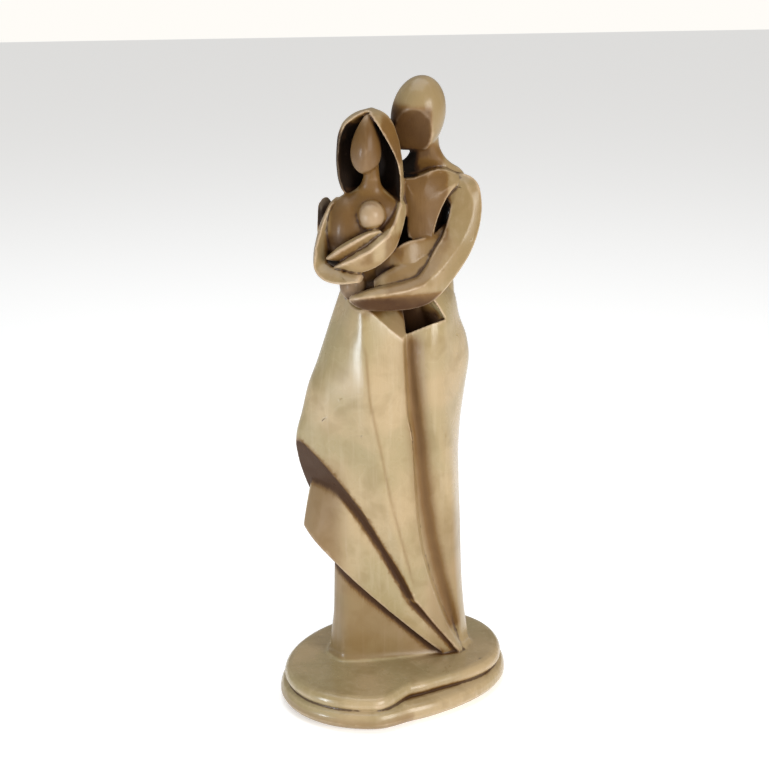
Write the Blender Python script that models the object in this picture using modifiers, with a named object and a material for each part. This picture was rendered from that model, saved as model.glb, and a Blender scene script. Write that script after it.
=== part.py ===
"""Figurine of a standing couple in an embrace, cast in one with its two-stepped oval base.

The base has its own driving dimensions. The couple is a free form: its stations are measured in
millimetres on a master pattern whose feet stand at PATTERN_FOOT and whose crown is at PATTERN_TOP, and
all of them scale together so that the couple fills the height left above the base.
Pattern coordinates: x to the couple's left, y to their back, z up.
"""

import math

import bmesh
import bpy
import numpy as np
from mathutils import Matrix

# Driving dimensions, in metres.
FIGURINE_HEIGHT = 0.300
BASE_LENGTH = 0.121
BASE_WIDTH = 0.097
BASE_THICKNESS = 0.017
BASE_STEP_HEIGHT = 0.0105
BASE_TIER_INSET = 0.0022
BASE_EDGE_ROUND = 0.0035
BASE_AXIS_DEG = 38.4
# How far the front right of each tier is cut back, as shares of its reach, and where.
UPPER_NOTCH = 0.215
LOWER_NOTCH = 0.09
NOTCH_AT_DEG = -98.0
NOTCH_STEP_DEG = 34.0
NOTCH_FADE_DEG = 55.0
FRONT_TURN_DEG = 12.0

# The couple's master pattern, in millimetres, and where its middle stands over the base's.
PATTERN_FOOT = 17.0
PATTERN_TOP = 299.6
PATTERN_MIDDLE = (0.5, -1.7)
# Which way the cuts of her two diagonal hems face.
HEM_1_FACING = (-0.68, -0.62, -0.41)
HEM_1_LOW_FACING = (-0.49, -0.67, -0.555)
HEM_2_FACING = (-0.696, 0.0, -0.718)
# Where the top of her dress is cut off below the forearm, to her right and to her left, and which way
# the cuts face.
WAIST_CUTS = [
    ((-22, -14.5, 198), (-0.331, -0.54, 0.772)),
    ((-4.3, -19, 191), (0.634, -0.444, 0.634)),
]

# Fineness of the finished solid.
VOXEL = 0.0008
TRIANGLES = 9900

COLOUR = (0.47, 0.33, 0.17, 1.0)


def spline(stations, count):
    """Rows of numbers at even steps along a smooth curve through the stations' rows."""
    rows = np.array(stations, float)
    last = len(rows) - 1
    slopes = np.gradient(rows, axis=0)
    t = np.linspace(0, last, count)
    i = np.minimum(t.astype(int), last - 1)
    u = (t - i)[:, None]
    a, b = rows[i], rows[i + 1]
    ta, tb = slopes[i], slopes[i + 1]
    return (
        (2 * u**3 - 3 * u**2 + 1) * a
        + (u**3 - 2 * u**2 + u) * ta
        + (3 * u**2 - 2 * u**3) * b
        + (u**3 - u**2) * tb
    )


def unit(v):
    return v / np.maximum(np.linalg.norm(v, axis=-1, keepdims=True), 1e-9)


def loft(name, rings):
    """One closed solid through rings of points, which all have the same number of points."""
    mesh = bmesh.new()
    loops = [[mesh.verts.new(p) for p in ring] for ring in rings]
    for low, high in zip(loops, loops[1:]):
        for k in range(len(low)):
            j = (k + 1) % len(low)
            mesh.faces.new((low[k], low[j], high[j], high[k]))
    mesh.faces.new(loops[0][::-1])
    mesh.faces.new(loops[-1])
    bmesh.ops.recalc_face_normals(mesh, faces=mesh.faces)
    data = bpy.data.meshes.new(name)
    mesh.to_mesh(data)
    mesh.free()
    made = bpy.data.objects.new(name, data)
    bpy.context.scene.collection.objects.link(made)
    return made


def limb(name, stations, crisp=0.0, back=1.0, edge=(0.0, 0.0), around=32, along=44):
    """A tapering form along a curve. A station is x, y, z, half width, half thickness, ridge.

    The width runs across the curve as seen from the front, and the ridge is where across it, from -1 to
    1, the form stands proudest. A crisp ridge of 1 is an arris, 0 is fully round. The back is how much
    thicker the far side is, and the edge how thick the near side still is at its two edges, at the
    curve's start and at its end."""
    rows = spline(stations, along)
    path, wide, thick, ridge = rows[:, :3], rows[:, 3:4], rows[:, 4:5], rows[:, 5:6]
    ahead = unit(np.gradient(path, axis=0))
    across = unit(np.cross(ahead, np.array((0.0, -1.0, 0.0))))
    out = unit(np.cross(across, ahead))
    out = np.where((out @ np.array((0.0, -1.0, 0.0)))[:, None] < 0, -out, out)
    rim = np.linspace(edge[0], edge[1], along)[:, None]
    rings = []
    for k in range(around):
        a = 2 * math.pi * k / around
        s, c = math.cos(a), math.sin(a)
        rise = np.full_like(ridge, abs(c))
        if c > 0:
            reach = 1 - np.abs(s - ridge) / np.where(s < ridge, 1 + ridge, 1 - ridge)
            rise = rim + (1 - rim) * ((1 - crisp) * rise + crisp * reach)
        rings.append(path + across * wide * s + out * thick * rise * (1 if c > 0 else -back))
    return loft(name, np.swapaxes(np.array(rings), 0, 1))


def column(name, stations, square=2.3, around=64, along=48):
    """An upright form. A station is z, centre x, centre y, half width, half depth, turn in degrees."""
    rows = spline(stations, along)
    rings = []
    for z, x, y, a, b, turn in rows:
        t = np.linspace(0, 2 * math.pi, around, endpoint=False)
        u = a * np.sign(np.cos(t)) * np.abs(np.cos(t)) ** (2 / square)
        v = b * np.sign(np.sin(t)) * np.abs(np.sin(t)) ** (2 / square)
        r = math.radians(turn)
        ring = np.stack(
            [x + u * math.cos(r) - v * math.sin(r), y + u * math.sin(r) + v * math.cos(r), 0 * t + z],
            axis=1,
        )
        rings.append(ring)
    return loft(name, rings)


def egg(name, centre, radii, turn=(0, 0, 0), taper=0.0):
    """An ellipsoid whose lower end is narrower by the share taper, or its upper end if that is negative."""
    bpy.ops.mesh.primitive_uv_sphere_add(segments=48, ring_count=32, radius=1)
    made = bpy.context.active_object
    made.name = name
    for vertex in made.data.vertices:
        near = 0.5 - vertex.co.z / 2 if taper > 0 else 0.5 + vertex.co.z / 2
        narrow = 1 - abs(taper) * max(near, 0) ** 1.5
        vertex.co.x *= radii[0] * narrow
        vertex.co.y *= radii[1] * narrow
        vertex.co.z *= radii[2]
    made.rotation_euler = [math.radians(a) for a in turn]
    made.location = centre
    bpy.context.view_layer.update()
    made.data.transform(made.matrix_world)
    made.location = (0, 0, 0)
    made.rotation_euler = (0, 0, 0)
    return made


def along(line, heights):
    """Where a drawn line of the carving, rows of z, x, y, stands at each height, without overshoot."""
    rows = np.array(line, float)
    z, p = rows[:, 0], rows[:, 1:]
    run = np.diff(z)[:, None]
    rise = np.diff(p, axis=0) / run
    slopes = np.zeros_like(p)
    slopes[0], slopes[-1] = rise[0], rise[-1]
    if len(z) > 2:
        product = rise[:-1] * rise[1:]
        total = rise[:-1] + rise[1:]
        slopes[1:-1] = np.where(product > 0, 2 * product / np.where(product > 0, total, 1), 0)
    h = np.clip(heights, z[0], z[-1])
    i = np.clip(np.searchsorted(z, h, side="right") - 1, 0, len(z) - 2)
    w = run[i]
    u = ((h - z[i])[:, None]) / w
    return (
        (2 * u**3 - 3 * u**2 + 1) * p[i]
        + (u**3 - 2 * u**2 + u) * w * slopes[i]
        + (3 * u**2 - 2 * u**3) * p[i + 1]
        + (u**3 - u**2) * w * slopes[i + 1]
    )


def carved(name, low, high, lines, rounds, levels=70, per=8, flare=0.0):
    """A form whose level sections run through the drawn lines, in order around it.

    The rounds say how round the section is at each line: 0 is an arris, 1 is a smooth curve. The flare
    is how far the lowest part spreads into a small fillet on the base."""
    heights = np.linspace(low, high, levels)
    keys = np.stack([along(line, heights) for line in lines], axis=1)
    rounding = np.array(rounds)[None, :, None]
    tangents = rounding * 0.5 * (np.roll(keys, -1, axis=1) - np.roll(keys, 1, axis=1))
    rings = []
    for level, z in enumerate(heights):
        ring = []
        middle = keys[level].mean(axis=0)
        spread = flare * max(0.0, 1 - (z - PATTERN_FOOT) / 4) ** 2
        for k in range(len(lines)):
            n = (k + 1) % len(lines)
            for u in np.arange(per) / per:
                point = (
                    (2 * u**3 - 3 * u**2 + 1) * keys[level, k]
                    + (u**3 - 2 * u**2 + u) * tangents[level, k]
                    + (3 * u**2 - 2 * u**3) * keys[level, n]
                    + (u**3 - u**2) * tangents[level, n]
                )
                point = point + unit(point - middle) * spread
                ring.append((point[0], point[1], z))
        rings.append(ring)
    return loft(name, rings)


def trim(made, point, normal):
    """Cuts away what lies beyond a plane and closes the cut."""
    mesh = bmesh.new()
    mesh.from_mesh(made.data)
    cut = bmesh.ops.bisect_plane(
        mesh,
        geom=mesh.verts[:] + mesh.edges[:] + mesh.faces[:],
        dist=1e-5,
        plane_co=point,
        plane_no=normal,
        clear_outer=True,
    )
    edges = [e for e in cut["geom_cut"] if isinstance(e, bmesh.types.BMEdge)]
    bmesh.ops.edgeloop_fill(mesh, edges=edges)
    bmesh.ops.recalc_face_normals(mesh, faces=mesh.faces)
    mesh.to_mesh(made.data)
    mesh.free()
    return made


def pare(made, point, normal, keep=0.0):
    """Flattens what stands proud of a plane, keeping a share of its swell."""
    for vertex in made.data.vertices:
        over = sum((vertex.co[i] - point[i]) * normal[i] for i in range(3))
        if over > 0:
            for i in range(3):
                vertex.co[i] -= normal[i] * over * (1 - keep)
    return made


def hollow(made, cutter):
    """Takes the cutter's space out of a form."""
    cut = made.modifiers.new("Hollow", "BOOLEAN")
    cut.object = cutter
    cut.solver = "EXACT"
    bpy.context.view_layer.objects.active = made
    bpy.ops.object.modifier_apply(modifier=cut.name)
    bpy.data.objects.remove(cutter)
    return made


def tier(name, profile, notch, shrink):
    """One oval tier of the base. A profile row is the height and how far in from the widest line."""
    a, b = BASE_LENGTH / 2 - shrink, BASE_WIDTH / 2 - shrink
    turn = math.radians(BASE_AXIS_DEG)
    rings = []
    for z, inset in profile:
        ring = []
        for k in range(144):
            t = 2 * math.pi * k / 144
            away = (math.degrees(t) - NOTCH_AT_DEG + 180) % 360 - 180
            reach = away / NOTCH_FADE_DEG if away > 0 else max(-away - 12, 0) / (NOTCH_STEP_DEG - 12)
            dip = notch * math.cos(math.pi / 2 * min(reach, 1)) ** 2
            u = (a - inset) * (1 - dip) * math.cos(t)
            v = (b - inset) * (1 - dip) * math.sin(t)
            x = u * math.cos(turn) - v * math.sin(turn)
            y = u * math.sin(turn) + v * math.cos(turn)
            ring.append((x, y, z))
        rings.append(ring)
    return loft(name, rings)


def slab(name, outline, middle, back, rounds=10):
    """A plate with a smoothly swelling front: its outline and the middle of its front are points."""
    edge = np.array(outline, float)
    hub = np.array(middle, float)
    rings = [np.column_stack([edge[:, 0], np.full(len(edge), back), edge[:, 2]])]
    for k in range(rounds):
        t = 1 - k / rounds
        ring = hub + (edge - hub) * t
        ring[:, 1] = hub[1] + (edge[:, 1] - hub[1]) * t * t
        rings.append(ring)
    return loft(name, rings)


# The base: a wide lower tier and an upper tier whose front right side is cut back.
def make_base():
    top, step = BASE_THICKNESS, BASE_STEP_HEIGHT
    r = BASE_EDGE_ROUND
    lower = tier(
        "lower tier",
        [(0, 1.43 * r), (0.09 * step, 0.97 * r), (0.23 * step, 0.37 * r), (0.43 * step, 0),
         (0.67 * step, 0.09 * r), (0.85 * step, 0.4 * r), (0.94 * step, 0.91 * r), (step, 1.86 * r)],
        LOWER_NOTCH,
        0,
    )
    r = min(r, 0.54 * (top - step))
    upper = tier(
        "upper tier",
        [(0.4 * step, r), (step - 0.37 * r, 0.86 * r), (step, 0.46 * r), (step + 0.46 * r, 0.06 * r),
         (top - r, 0), (top - 0.5 * r, 0.2 * r), (top - 0.15 * r, 0.57 * r), (top, 1.2 * r)],
        UPPER_NOTCH,
        BASE_TIER_INSET,
    )
    return [lower, upper]


# Her underskirt: the plain lowest layer, standing on the base.
def make_underskirt():
    return carved(
        "underskirt", 13, 86,
        [
            [(12, -31.5, -1), (24, -31, -1.5), (41, -29.3, -1), (60, -28.9, -1), (86, -28, -1)],
            [(12, -29, -8.6), (40, -27.4, -8.2), (86, -26.6, -7.4)],
            [(12, -21.5, -13.8), (30, -20.5, -13.1), (60, -19, -12.1), (86, -18, -11)],
            [(12, 3, -9.6), (30, 3, -9), (60, 2, -8), (86, 0, -7)],
            [(12, 26, -4.3), (30, 25, -3), (60, 20, -2), (86, 15, 0)],
            [(12, 35.7, 2.6), (30, 33, 4), (60, 30, 6), (86, 28, 8)],
            [(12, 18, 22), (86, 15, 20)],
            [(12, -15, 23), (86, -14, 20)],
            [(12, -28, 11), (86, -25, 10)],
        ],
        [1, 1, 1, 1, 1, 1, 1, 1, 1],
        flare=2.2,
    )


# Her second layer, hanging to a hem that runs down from her right to the tip.
def make_middle_layer():
    made = carved(
        "middle layer", 8, 116,
        [
            [(8, -44, 1), (60, -45.5, 0), (80, -44.2, -1), (93, -42.4, 0), (105, -40.2, 1),
             (116, -38, 2)],
            [(8, -30, -9), (60, -34, -10.5), (80, -37, -8.8), (93, -35, -8.5), (105, -33, -7.5),
             (116, -31, -6)],
            [(8, 22, -5), (25, 18, -8.8), (45, 6, -13), (62, -4, -15.8), (80, -14, -16.8),
             (93, -20, -15.5), (105, -24, -13.5), (116, -27, -10)],
            [(8, 34, 1), (20, 31, -1.5), (30, 26, -3.5), (45, 20, -5), (62, 12, -7.5), (80, 5, -10),
             (93, 0, -11), (116, -4, -8)],
            [(8, 20, 14), (116, 0, 10)],
            [(8, -24, 16), (80, -28, 14), (116, -28, 12)],
            [(8, -40, 7), (80, -41, 6), (116, -36, 8)],
        ],
        [0.5, 0.6, 0.7, 0.6, 1, 1, 0.8],
    )
    return trim(made, (-12.4, 0, 53.5), HEM_2_FACING)


# Her outer layer, from the waist to the long diagonal hem, with a ridge down its front.
def make_outer_layer():
    made = carved(
        "outer layer", 10, 203,
        [
            [(10, -25, 6), (50, -26, 6), (67, -27, 5), (80, -34, 3), (93, -41.5, 1), (107, -45, 0),
             (118, -46.4, -1), (125.6, -46.6, -1.5), (131.7, -46.3, -2), (143.8, -43.4, -2),
             (155.8, -40.6, -1), (167.7, -36.2, 0), (179.5, -32.3, 0), (191.6, -28.4, 0),
             (203, -24.5, 1)],
            [(10, -18, -6), (60, -20, -12), (80, -27, -14), (107, -37, -11), (125, -41.5, -9.5),
             (140, -39, -10.5), (156, -35.5, -11.5), (168, -31.5, -12), (180, -27.5, -12),
             (191, -24, -11.8), (203, -21, -10.5)],
            [(10, 24, -2), (20, 20, -6), (34, 9, -9.5), (45, 4, -12), (64, -2, -15.5), (82, -6, -18),
             (99, -10.5, -20.3), (116, -14, -21), (129, -15, -21.5), (143, -18, -21.5), (157, -20.5, -21),
             (176, -21, -19.6), (188, -20, -18.4), (203, -18.5, -16.5)],
            [(10, 38, -1), (20, 31, -5.2), (34, 18, -11), (45.5, 13, -14), (64, 7, -17.8), (82, 3, -20.6),
             (99, -1, -22.6), (116, -4.5, -24), (129, -5.5, -24.7), (143, -8.5, -25), (157, -11, -25),
             (176, -12.3, -23.6), (186, -13, -22.6), (203, -13.6, -19.5)],
            [(10, 40, 2), (20, 33.2, -2.8), (28, 29.3, -5), (38, 24.6, -7.2), (47, 21.5, -8.8),
             (61.5, 16.9, -12), (80, 12.8, -15.5), (97, 10.5, -17.7), (114, 9.5, -19), (134, 8.6, -19.7),
             (148, 6, -20.5), (169, 4.8, -19.5), (179, 4.3, -18.8), (190, 4.2, -17.5), (203, 3.5, -14)],
            [(10, 41, 6), (20, 34, 1.5), (28, 30.5, 0), (47, 23, -4.5), (80, 14, -11), (114, 10.5, -14),
             (148, 7, -14.5), (169, 6, -13.5), (184, 5.5, -12), (203, 5, -8)],
            [(10, 30, 16), (60, 14, 18), (120, 6, 20), (180, 2, 14), (203, -1, 8)],
            [(10, 0, 25), (60, -5, 26.5), (120, -11, 28.5), (150, -12, 28), (180, -10, 22),
             (196, -9.5, 12), (203, -9.5, 7)],
            [(10, -20, 17), (67, -23, 18), (93, -33, 17), (120, -38, 15), (150, -34, 16), (180, -26, 14),
             (196, -20.5, 8), (203, -18, 5)],
        ],
        [1, 0.9, 0.7, 0.45, 0.1, 0.2, 1, 1, 1],
        levels=110,
    )
    for point, facing in WAIST_CUTS:
        trim(made, point, facing)
    trim(made, (-0.9, -17.8, 72.9), HEM_1_FACING)
    return trim(made, (13, -13.4, 45.9), HEM_1_LOW_FACING)


# His hips and legs: a groove, a long crest and a shelf at the top, under the forearm.
def make_his_legs():
    made = carved(
        "his legs", 13, 206,
        [
            [(13, 36, 2), (20, 33, 0), (28, 29.3, -1.5), (38, 25, -3.5), (47, 22, -5.2),
             (61.5, 17.5, -8.2), (80, 13.5, -11.5), (97, 11, -13.7), (114, 10, -15), (134, 9, -15.7),
             (148, 6.5, -16.5), (169, 5, -15.8), (180, 4, -14.8), (204, 2, -12)],
            [(13, 36.5, 3), (24, 32, 0), (42, 27.6, -2.6), (59, 23.4, -5.4), (78, 19.2, -8.7),
             (100, 15.6, -11.6), (117, 13.4, -13.2), (131, 12.2, -13.9), (152, 9.4, -15),
             (171, 8.2, -15.2), (182, 8, -14.8), (204, 8, -12.5)],
            [(13, 37, 4), (23, 34.4, 0.5), (38, 32.3, -2), (55, 30.5, -4.5), (77, 28.6, -7.5),
             (99, 27.3, -10.5), (116, 25, -13), (136, 21, -16), (159, 17, -18), (175, 16.8, -18),
             (184, 17, -17), (194, 17, -15), (204, 16, -12)],
            [(13, 38, 7), (60, 33, 2), (100, 31, -2), (118, 29.5, -5), (136, 27.5, -8.5), (152, 25, -12),
             (175, 25, -12), (186, 25, -10.8), (196, 24, -8.5), (204, 22, -5)],
            [(13, 38.5, 12), (24, 37, 10), (40, 34.6, 10), (60, 33.3, 10), (86, 32.5, 10), (104, 31.7, 10),
             (120, 31.5, 10), (135, 32.2, 9), (153, 34.3, 8), (168, 36, 8), (177, 34.8, 8), (188, 31, 8),
             (198, 28.9, 9), (206, 24, 10)],
            [(13, 33, 24), (60, 27, 24), (120, 26, 25), (150, 28, 27), (168, 28, 28), (185, 25.5, 23.5),
             (197, 22.5, 18.5), (206, 18, 14)],
            [(13, 10, 30), (60, 8, 29), (120, 10, 30), (150, 12, 32), (168, 12, 33), (185, 11.5, 27),
             (197, 12, 21.5), (206, 12, 16)],
            [(13, -15, 23), (60, -14, 22), (120, -8, 24), (168, -8, 25), (197, -1, 17), (206, 4, 14)],
            [(13, -12, 5), (60, -10, 4), (120, -2, 2), (168, -2, 3), (197, -2, 5), (206, 3, 8)],
        ],
        [0.3, 1, 0.8, 1, 1, 1, 1, 1, 1],
        levels=110,
        flare=2.0,
    )
    # The deep recess between the forearm and the top of his thigh, whose floor falls away inwards.
    rings = []
    for top, plan in enumerate(
        ([(1, -30), (1, 1), (14, 1), (24, -11), (26, -30)], [(1, -30), (1, 1), (2, 1), (8, -11), (10, -30)])
    ):
        rings.append([(x, y, 215 if top else 183.8 + 0.4 * (x - 4.5) - 0.35 * (y + 14)) for x, y in plan])
    return hollow(made, loft("recess", rings))


def make_his_torso():
    body = column(
        "his torso",
        [(176, 13, 12, 15, 13, 0), (198, 13.3, 10.5, 15.3, 11.8, 0), (210, 10.5, 11, 17, 11, 0),
         (222, 10.5, 12, 16, 10, 0), (230, 11.5, 14, 14, 9, 0), (238, 11.5, 14.5, 15, 8.5, 0),
         (246, 12, 14.8, 20, 8.2, 0), (250, 12.5, 15, 21.5, 7.2, 0), (253.5, 13.5, 15, 19.5, 6.6, 0),
         (256.5, 14, 14.6, 16.5, 6.2, 0), (259, 14.4, 13.8, 12.2, 6, 0), (262, 14.8, 12.6, 8.8, 6.2, 0),
         (266.6, 14.6, 11.6, 6.6, 6.3, 0), (272, 14, 11, 6.5, 6.3, 0)],
        square=2.2,
    )
    chest = slab(
        "his chest",
        [(4.6, -3, 254.1), (9.2, -2.5, 254.6), (13, -1.2, 255.8), (16.5, 0, 257.2), (20, 2.4, 257.8),
         (24, 4.6, 257.2), (28, 6.4, 255.4), (32, 7, 253), (30, 4.4, 251.2), (27, 1.6, 248.6),
         (24.4, -0.6, 245.4), (22, -2, 241), (20.2, -3, 236.6), (19, -3.8, 232.6), (18.2, -4.6, 229),
         (15, -5.6, 227.4), (11, -6.4, 226.8), (6.6, -6, 227.4), (6, -5, 231), (5.9, -4.2, 236),
         (5.5, -3.6, 241), (5, -3.2, 247)],
        (11, -5.2, 243),
        14,
    )
    upper_fold = limb(
        "upper fold",
        [(25.1, 5, 231.5, 1.5, 2.5, -0.4), (21.8, 1, 228.2, 2.4, 2.8, -0.5),
         (19.5, -1.5, 225.5, 3.3, 2.8, -0.7), (15.7, -4.7, 224.1, 4, 2.8, -0.8),
         (11.7, -7.7, 222.8, 4.8, 2.9, -0.85), (7.4, -10, 221.4, 5.6, 3, -0.85),
         (2.8, -11, 218.4, 6, 3, -0.85), (-3, -9.5, 214.5, 6, 3, -0.8), (-8, -6, 211, 5, 3, -0.7)],
        crisp=0.45,
        back=2.0,
        edge=(0.5, 0.5),
    )
    belly = limb(
        "belly",
        [(24, -1, 223.5, 1.5, 2.4, -0.3), (20.6, -4.5, 219.8, 3.4, 3.4, -0.4),
         (16.6, -8, 216.6, 4.4, 4, -0.5), (9.6, -10.5, 214.8, 4.6, 4.6, -0.6),
         (5.1, -13, 212.6, 5.2, 5, -0.6), (0.5, -15, 210.7, 5.2, 5, -0.6),
         (-4.1, -16, 208.9, 4.6, 5, -0.6), (-8.2, -15, 207.2, 3, 4, -0.4)],
        crisp=0.5,
    )
    return [body, chest, upper_fold, belly]


def make_his_head():
    skull = egg("his head", (10.9, 9.2, 281.2), (12.8, 14, 18.6), (4, 11, 0), 0.1)
    pare(skull, (8.5, -3.4, 285), (-0.22, -0.87, -0.44), 0.15)
    pare(skull, (6, 4, 266.4), (0.02, -0.1, -0.99), 0.1)
    return [skull]


def make_his_arms():
    left = limb(
        "his left arm",
        [(27.5, 12, 252.4, 2.2, 3.5, 0.1), (30.8, 10.5, 250, 5.2, 5.5, -0.1),
         (32, 8, 246.4, 7.8, 6.2, -0.35), (33.2, 5.8, 240.4, 7.3, 6.2, -0.45),
         (31.9, 3, 232.5, 7.5, 6.2, -0.35), (29, -1, 224.8, 7.5, 6.2, -0.15),
         (24.5, -6, 218.1, 7.5, 6.5, 0), (19.3, -11, 211.2, 6.9, 6.8, 0.2),
         (13.7, -15.5, 206.3, 6.7, 6.6, 0.45), (6.4, -20, 204.5, 6.4, 6.5, 0.55),
         (-1.8, -23.5, 203.9, 5.7, 6, 0.55), (-9.5, -25.5, 203.4, 5.0, 5, 0.55),
         (-15.5, -25.5, 203.2, 3.4, 4, 0.5), (-19.8, -24.5, 203.6, 1.4, 2.4, 0.2)],
        crisp=0.65,
        back=1.7,
        edge=(0.75, 0.25),
        along=60,
    )
    right = limb(
        "his right arm",
        [(-4, 17, 247, 4, 4, 0), (-13, 20, 238, 6, 5.5, 0), (-21, 19, 231, 6.5, 5.5, 0),
         (-28, 13, 227, 5.5, 5, 0), (-33, 8.5, 227, 2.6, 3, 0), (-32.5, 6.5, 232.7, 3, 2.4, -0.3),
         (-31.8, 5.5, 237, 3.5, 2.2, -0.5), (-31.6, 5, 240.8, 3.3, 2, -0.6),
         (-31.8, 5, 242.9, 2.4, 1.6, -0.5), (-32.4, 5, 244.1, 1.2, 1, 0)],
        crisp=0.5,
    )
    return [left, right]


def make_her_torso():
    body = column(
        "her torso",
        [(188, -10, 0, 14, 11, 0), (200, -13, -1, 11, 9, 0), (205, -15.3, -1, 9.2, 8.5, 0),
         (209, -14, -1, 11.2, 9, 0), (213, -15.6, -1, 14.6, 9.5, 0), (219, -16, -2, 16.8, 11.5, 0),
         (226, -15.2, -1.8, 17.4, 12.8, 0), (234, -12.8, -2, 16, 12, 0), (240.5, -12.5, -2.5, 16, 11.2, 0),
         (244.5, -12, -3, 14.5, 9, 0), (248.5, -11, -4, 8.5, 6, 0), (251.5, -10.6, -5, 5.2, 4.6, 0),
         (256, -10.2, -6.5, 3.7, 4.2, 0), (263, -10.5, -7, 3.4, 4, 0)],
        square=2.2,
    )
    waist = egg("her waist", (-19, -9.5, 206.5), (6, 7.5, 7))
    right_breast = egg("right breast", (-20.5, -4, 232.5), (10.8, 11.3, 16), (0, 10, 0))
    left_breast = egg("left breast", (-10.3, -12.4, 239.2), (6.2, 6.8, 6.9))
    return [body, waist, right_breast, left_breast]


def make_her_arms():
    right = limb(
        "her right arm",
        [(-25.1, -2, 245.4, 1.2, 2.5, 0), (-27.6, -3, 242.1, 2, 4, 0.6), (-29, -4, 238.3, 2.6, 4.6, 0.75),
         (-30.1, -5, 234.8, 3.1, 5, 0.75), (-31.6, -6.5, 230.5, 3.1, 5, 0.7),
         (-32.8, -9, 225.9, 3.1, 5, 0.7), (-33.4, -12, 221.5, 3.3, 5, 0.7),
         (-33, -15.5, 216.9, 3.4, 5, 0.7), (-29.8, -19, 214.2, 3.7, 5, 0.75),
         (-24.8, -22.5, 213, 3.2, 4.6, 0.75), (-20, -25, 212.9, 2.4, 4.2, 0.6),
         (-15, -26.5, 213, 1.7, 3.4, 0.3)],
        crisp=0.85,
        back=1.5,
    )
    left = limb(
        "her left arm",
        [(1.9, -3, 247.4, 1.5, 2.5, 0), (1.9, -4, 244.3, 3, 3.8, -0.2), (1.4, -6, 240.8, 4.3, 5, -0.25),
         (0.1, -9.5, 235.4, 4.5, 5.6, -0.05), (-2.3, -14, 229.7, 5, 6, 0.2),
         (-4.5, -17.5, 226.8, 5.4, 6, 0.45), (-9.5, -21, 222.5, 5.2, 5.6, 0.7),
         (-15.5, -23.5, 220, 4.7, 5, 0.8), (-20.2, -24, 219.1, 3.1, 4, 0.7),
         (-23.6, -22.5, 218.3, 1.7, 3, 0.5), (-26.4, -20, 217.5, 0.6, 1.5, 0)],
        crisp=0.9,
        back=1.5,
    )
    hand = limb(
        "her left hand",
        [(-6.3, -15, 231.8, 1.8, 3, 0.6), (-10.2, -17, 230.4, 3, 4, 0.75),
         (-14.4, -19, 228.1, 3.7, 4.6, 0.8), (-19.3, -20.5, 225.5, 3.9, 4.8, 0.8),
         (-23.9, -20.5, 223.3, 3.3, 4.4, 0.75), (-27.5, -19, 221.6, 2.1, 3.4, 0.6),
         (-30.1, -17, 220.7, 0.8, 2, 0)],
        crisp=0.85,
    )
    return [right, left, hand]


def make_her_head():
    face = egg("her face", (-12.4, -8.6, 270.8), (8.1, 7.6, 13.4), (0, 4, 0), -0.5)
    for vertex in face.data.vertices:
        across = min(abs(vertex.co.x + 12.5) / 7.3, 1)
        if vertex.co.y < -9.5:
            vertex.co.y -= 1.2 * (1 - across) * (1 - ((vertex.co.z - 271.6) / 13) ** 2)
    hair = carved(
        "her hair", 241, 286.0,
        [
            [(241, 3, -6), (250, 3, -11), (254.4, 2.9, -12.3), (261.3, 1.9, -13.5), (266.6, 0.1, -15),
             (270.7, -1.9, -16), (275.6, -4.7, -16), (279.3, -7.1, -15), (282.7, -9.4, -13),
             (284.9, -10.9, -9.5), (286.0, -11, -4)],
            [(241, 4.2, -2), (255, 4.4, -5), (261, 4, -6), (266, 3.2, -6), (271, 2.4, -6), (276, 0.8, -6),
             (280, -0.7, -6), (283.5, -3.4, -5), (285.2, -6.2, -4), (286.0, -9.4, -3)],
            [(241, 2, 5), (260, 2, 6), (275, -1, 6), (282.3, -5, 4), (286.0, -9.4, 1)],
            [(241, -10, 10), (260, -10, 13), (275, -10, 12.5), (282, -10, 8), (286.0, -10, 2)],
            [(241, -19, 8), (260, -21, 8), (275, -20, 8), (282.3, -16, 4), (286.0, -11, 1)],
            [(241, -19, 1), (246, -21.5, 0), (250, -24.1, -1), (256, -25.6, -1), (263, -26.1, -1),
             (272, -25.6, -1), (278.8, -23.6, -2), (281.4, -21.6, -2.5), (283.5, -19, -3), (285, -16, -3),
             (286.0, -11.5, -2)],
            [(241, -17, -4), (246, -20, -5), (250, -23.2, -6), (256, -24.9, -6.5), (263, -25.3, -7),
             (272, -24.6, -7.5), (278.8, -22.3, -8.5), (281.4, -20, -9.3), (283.5, -17.2, -9.3),
             (284.8, -14.5, -9), (285.6, -12.3, -8), (286.0, -11.2, -4)],
            [(241, -14, -2), (246, -17, -2), (250, -20.5, -2), (263, -22.7, -2), (272, -22.2, -2),
             (279, -19.2, -4), (282, -16.2, -6.3), (284, -14, -7.6), (285.5, -12.2, -7.2),
             (286.0, -11.1, -3.8)],
            [(241, -10, 0), (250, -9.5, 4), (263, -9.5, 6), (272, -9.5, 5), (279, -10, 1),
             (282, -10.5, -3), (284, -11, -6.5), (285.5, -11.5, -7.4), (286.0, -11.1, -3.7)],
            [(241, -4, -2), (250, 0.4, -2), (256, 1.0, -3), (263, 0, -3), (270, -1.8, -4), (276, -4.6, -6),
             (280, -7, -8), (282.5, -9.3, -8.6), (284.5, -10.9, -8), (286.0, -11, -3.8)],
        ],
        [0.1, 0.8, 1, 1, 1, 0.8, 0.1, 0.8, 1, 0.8],
        levels=60,
    )
    return [face, hair]


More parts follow.
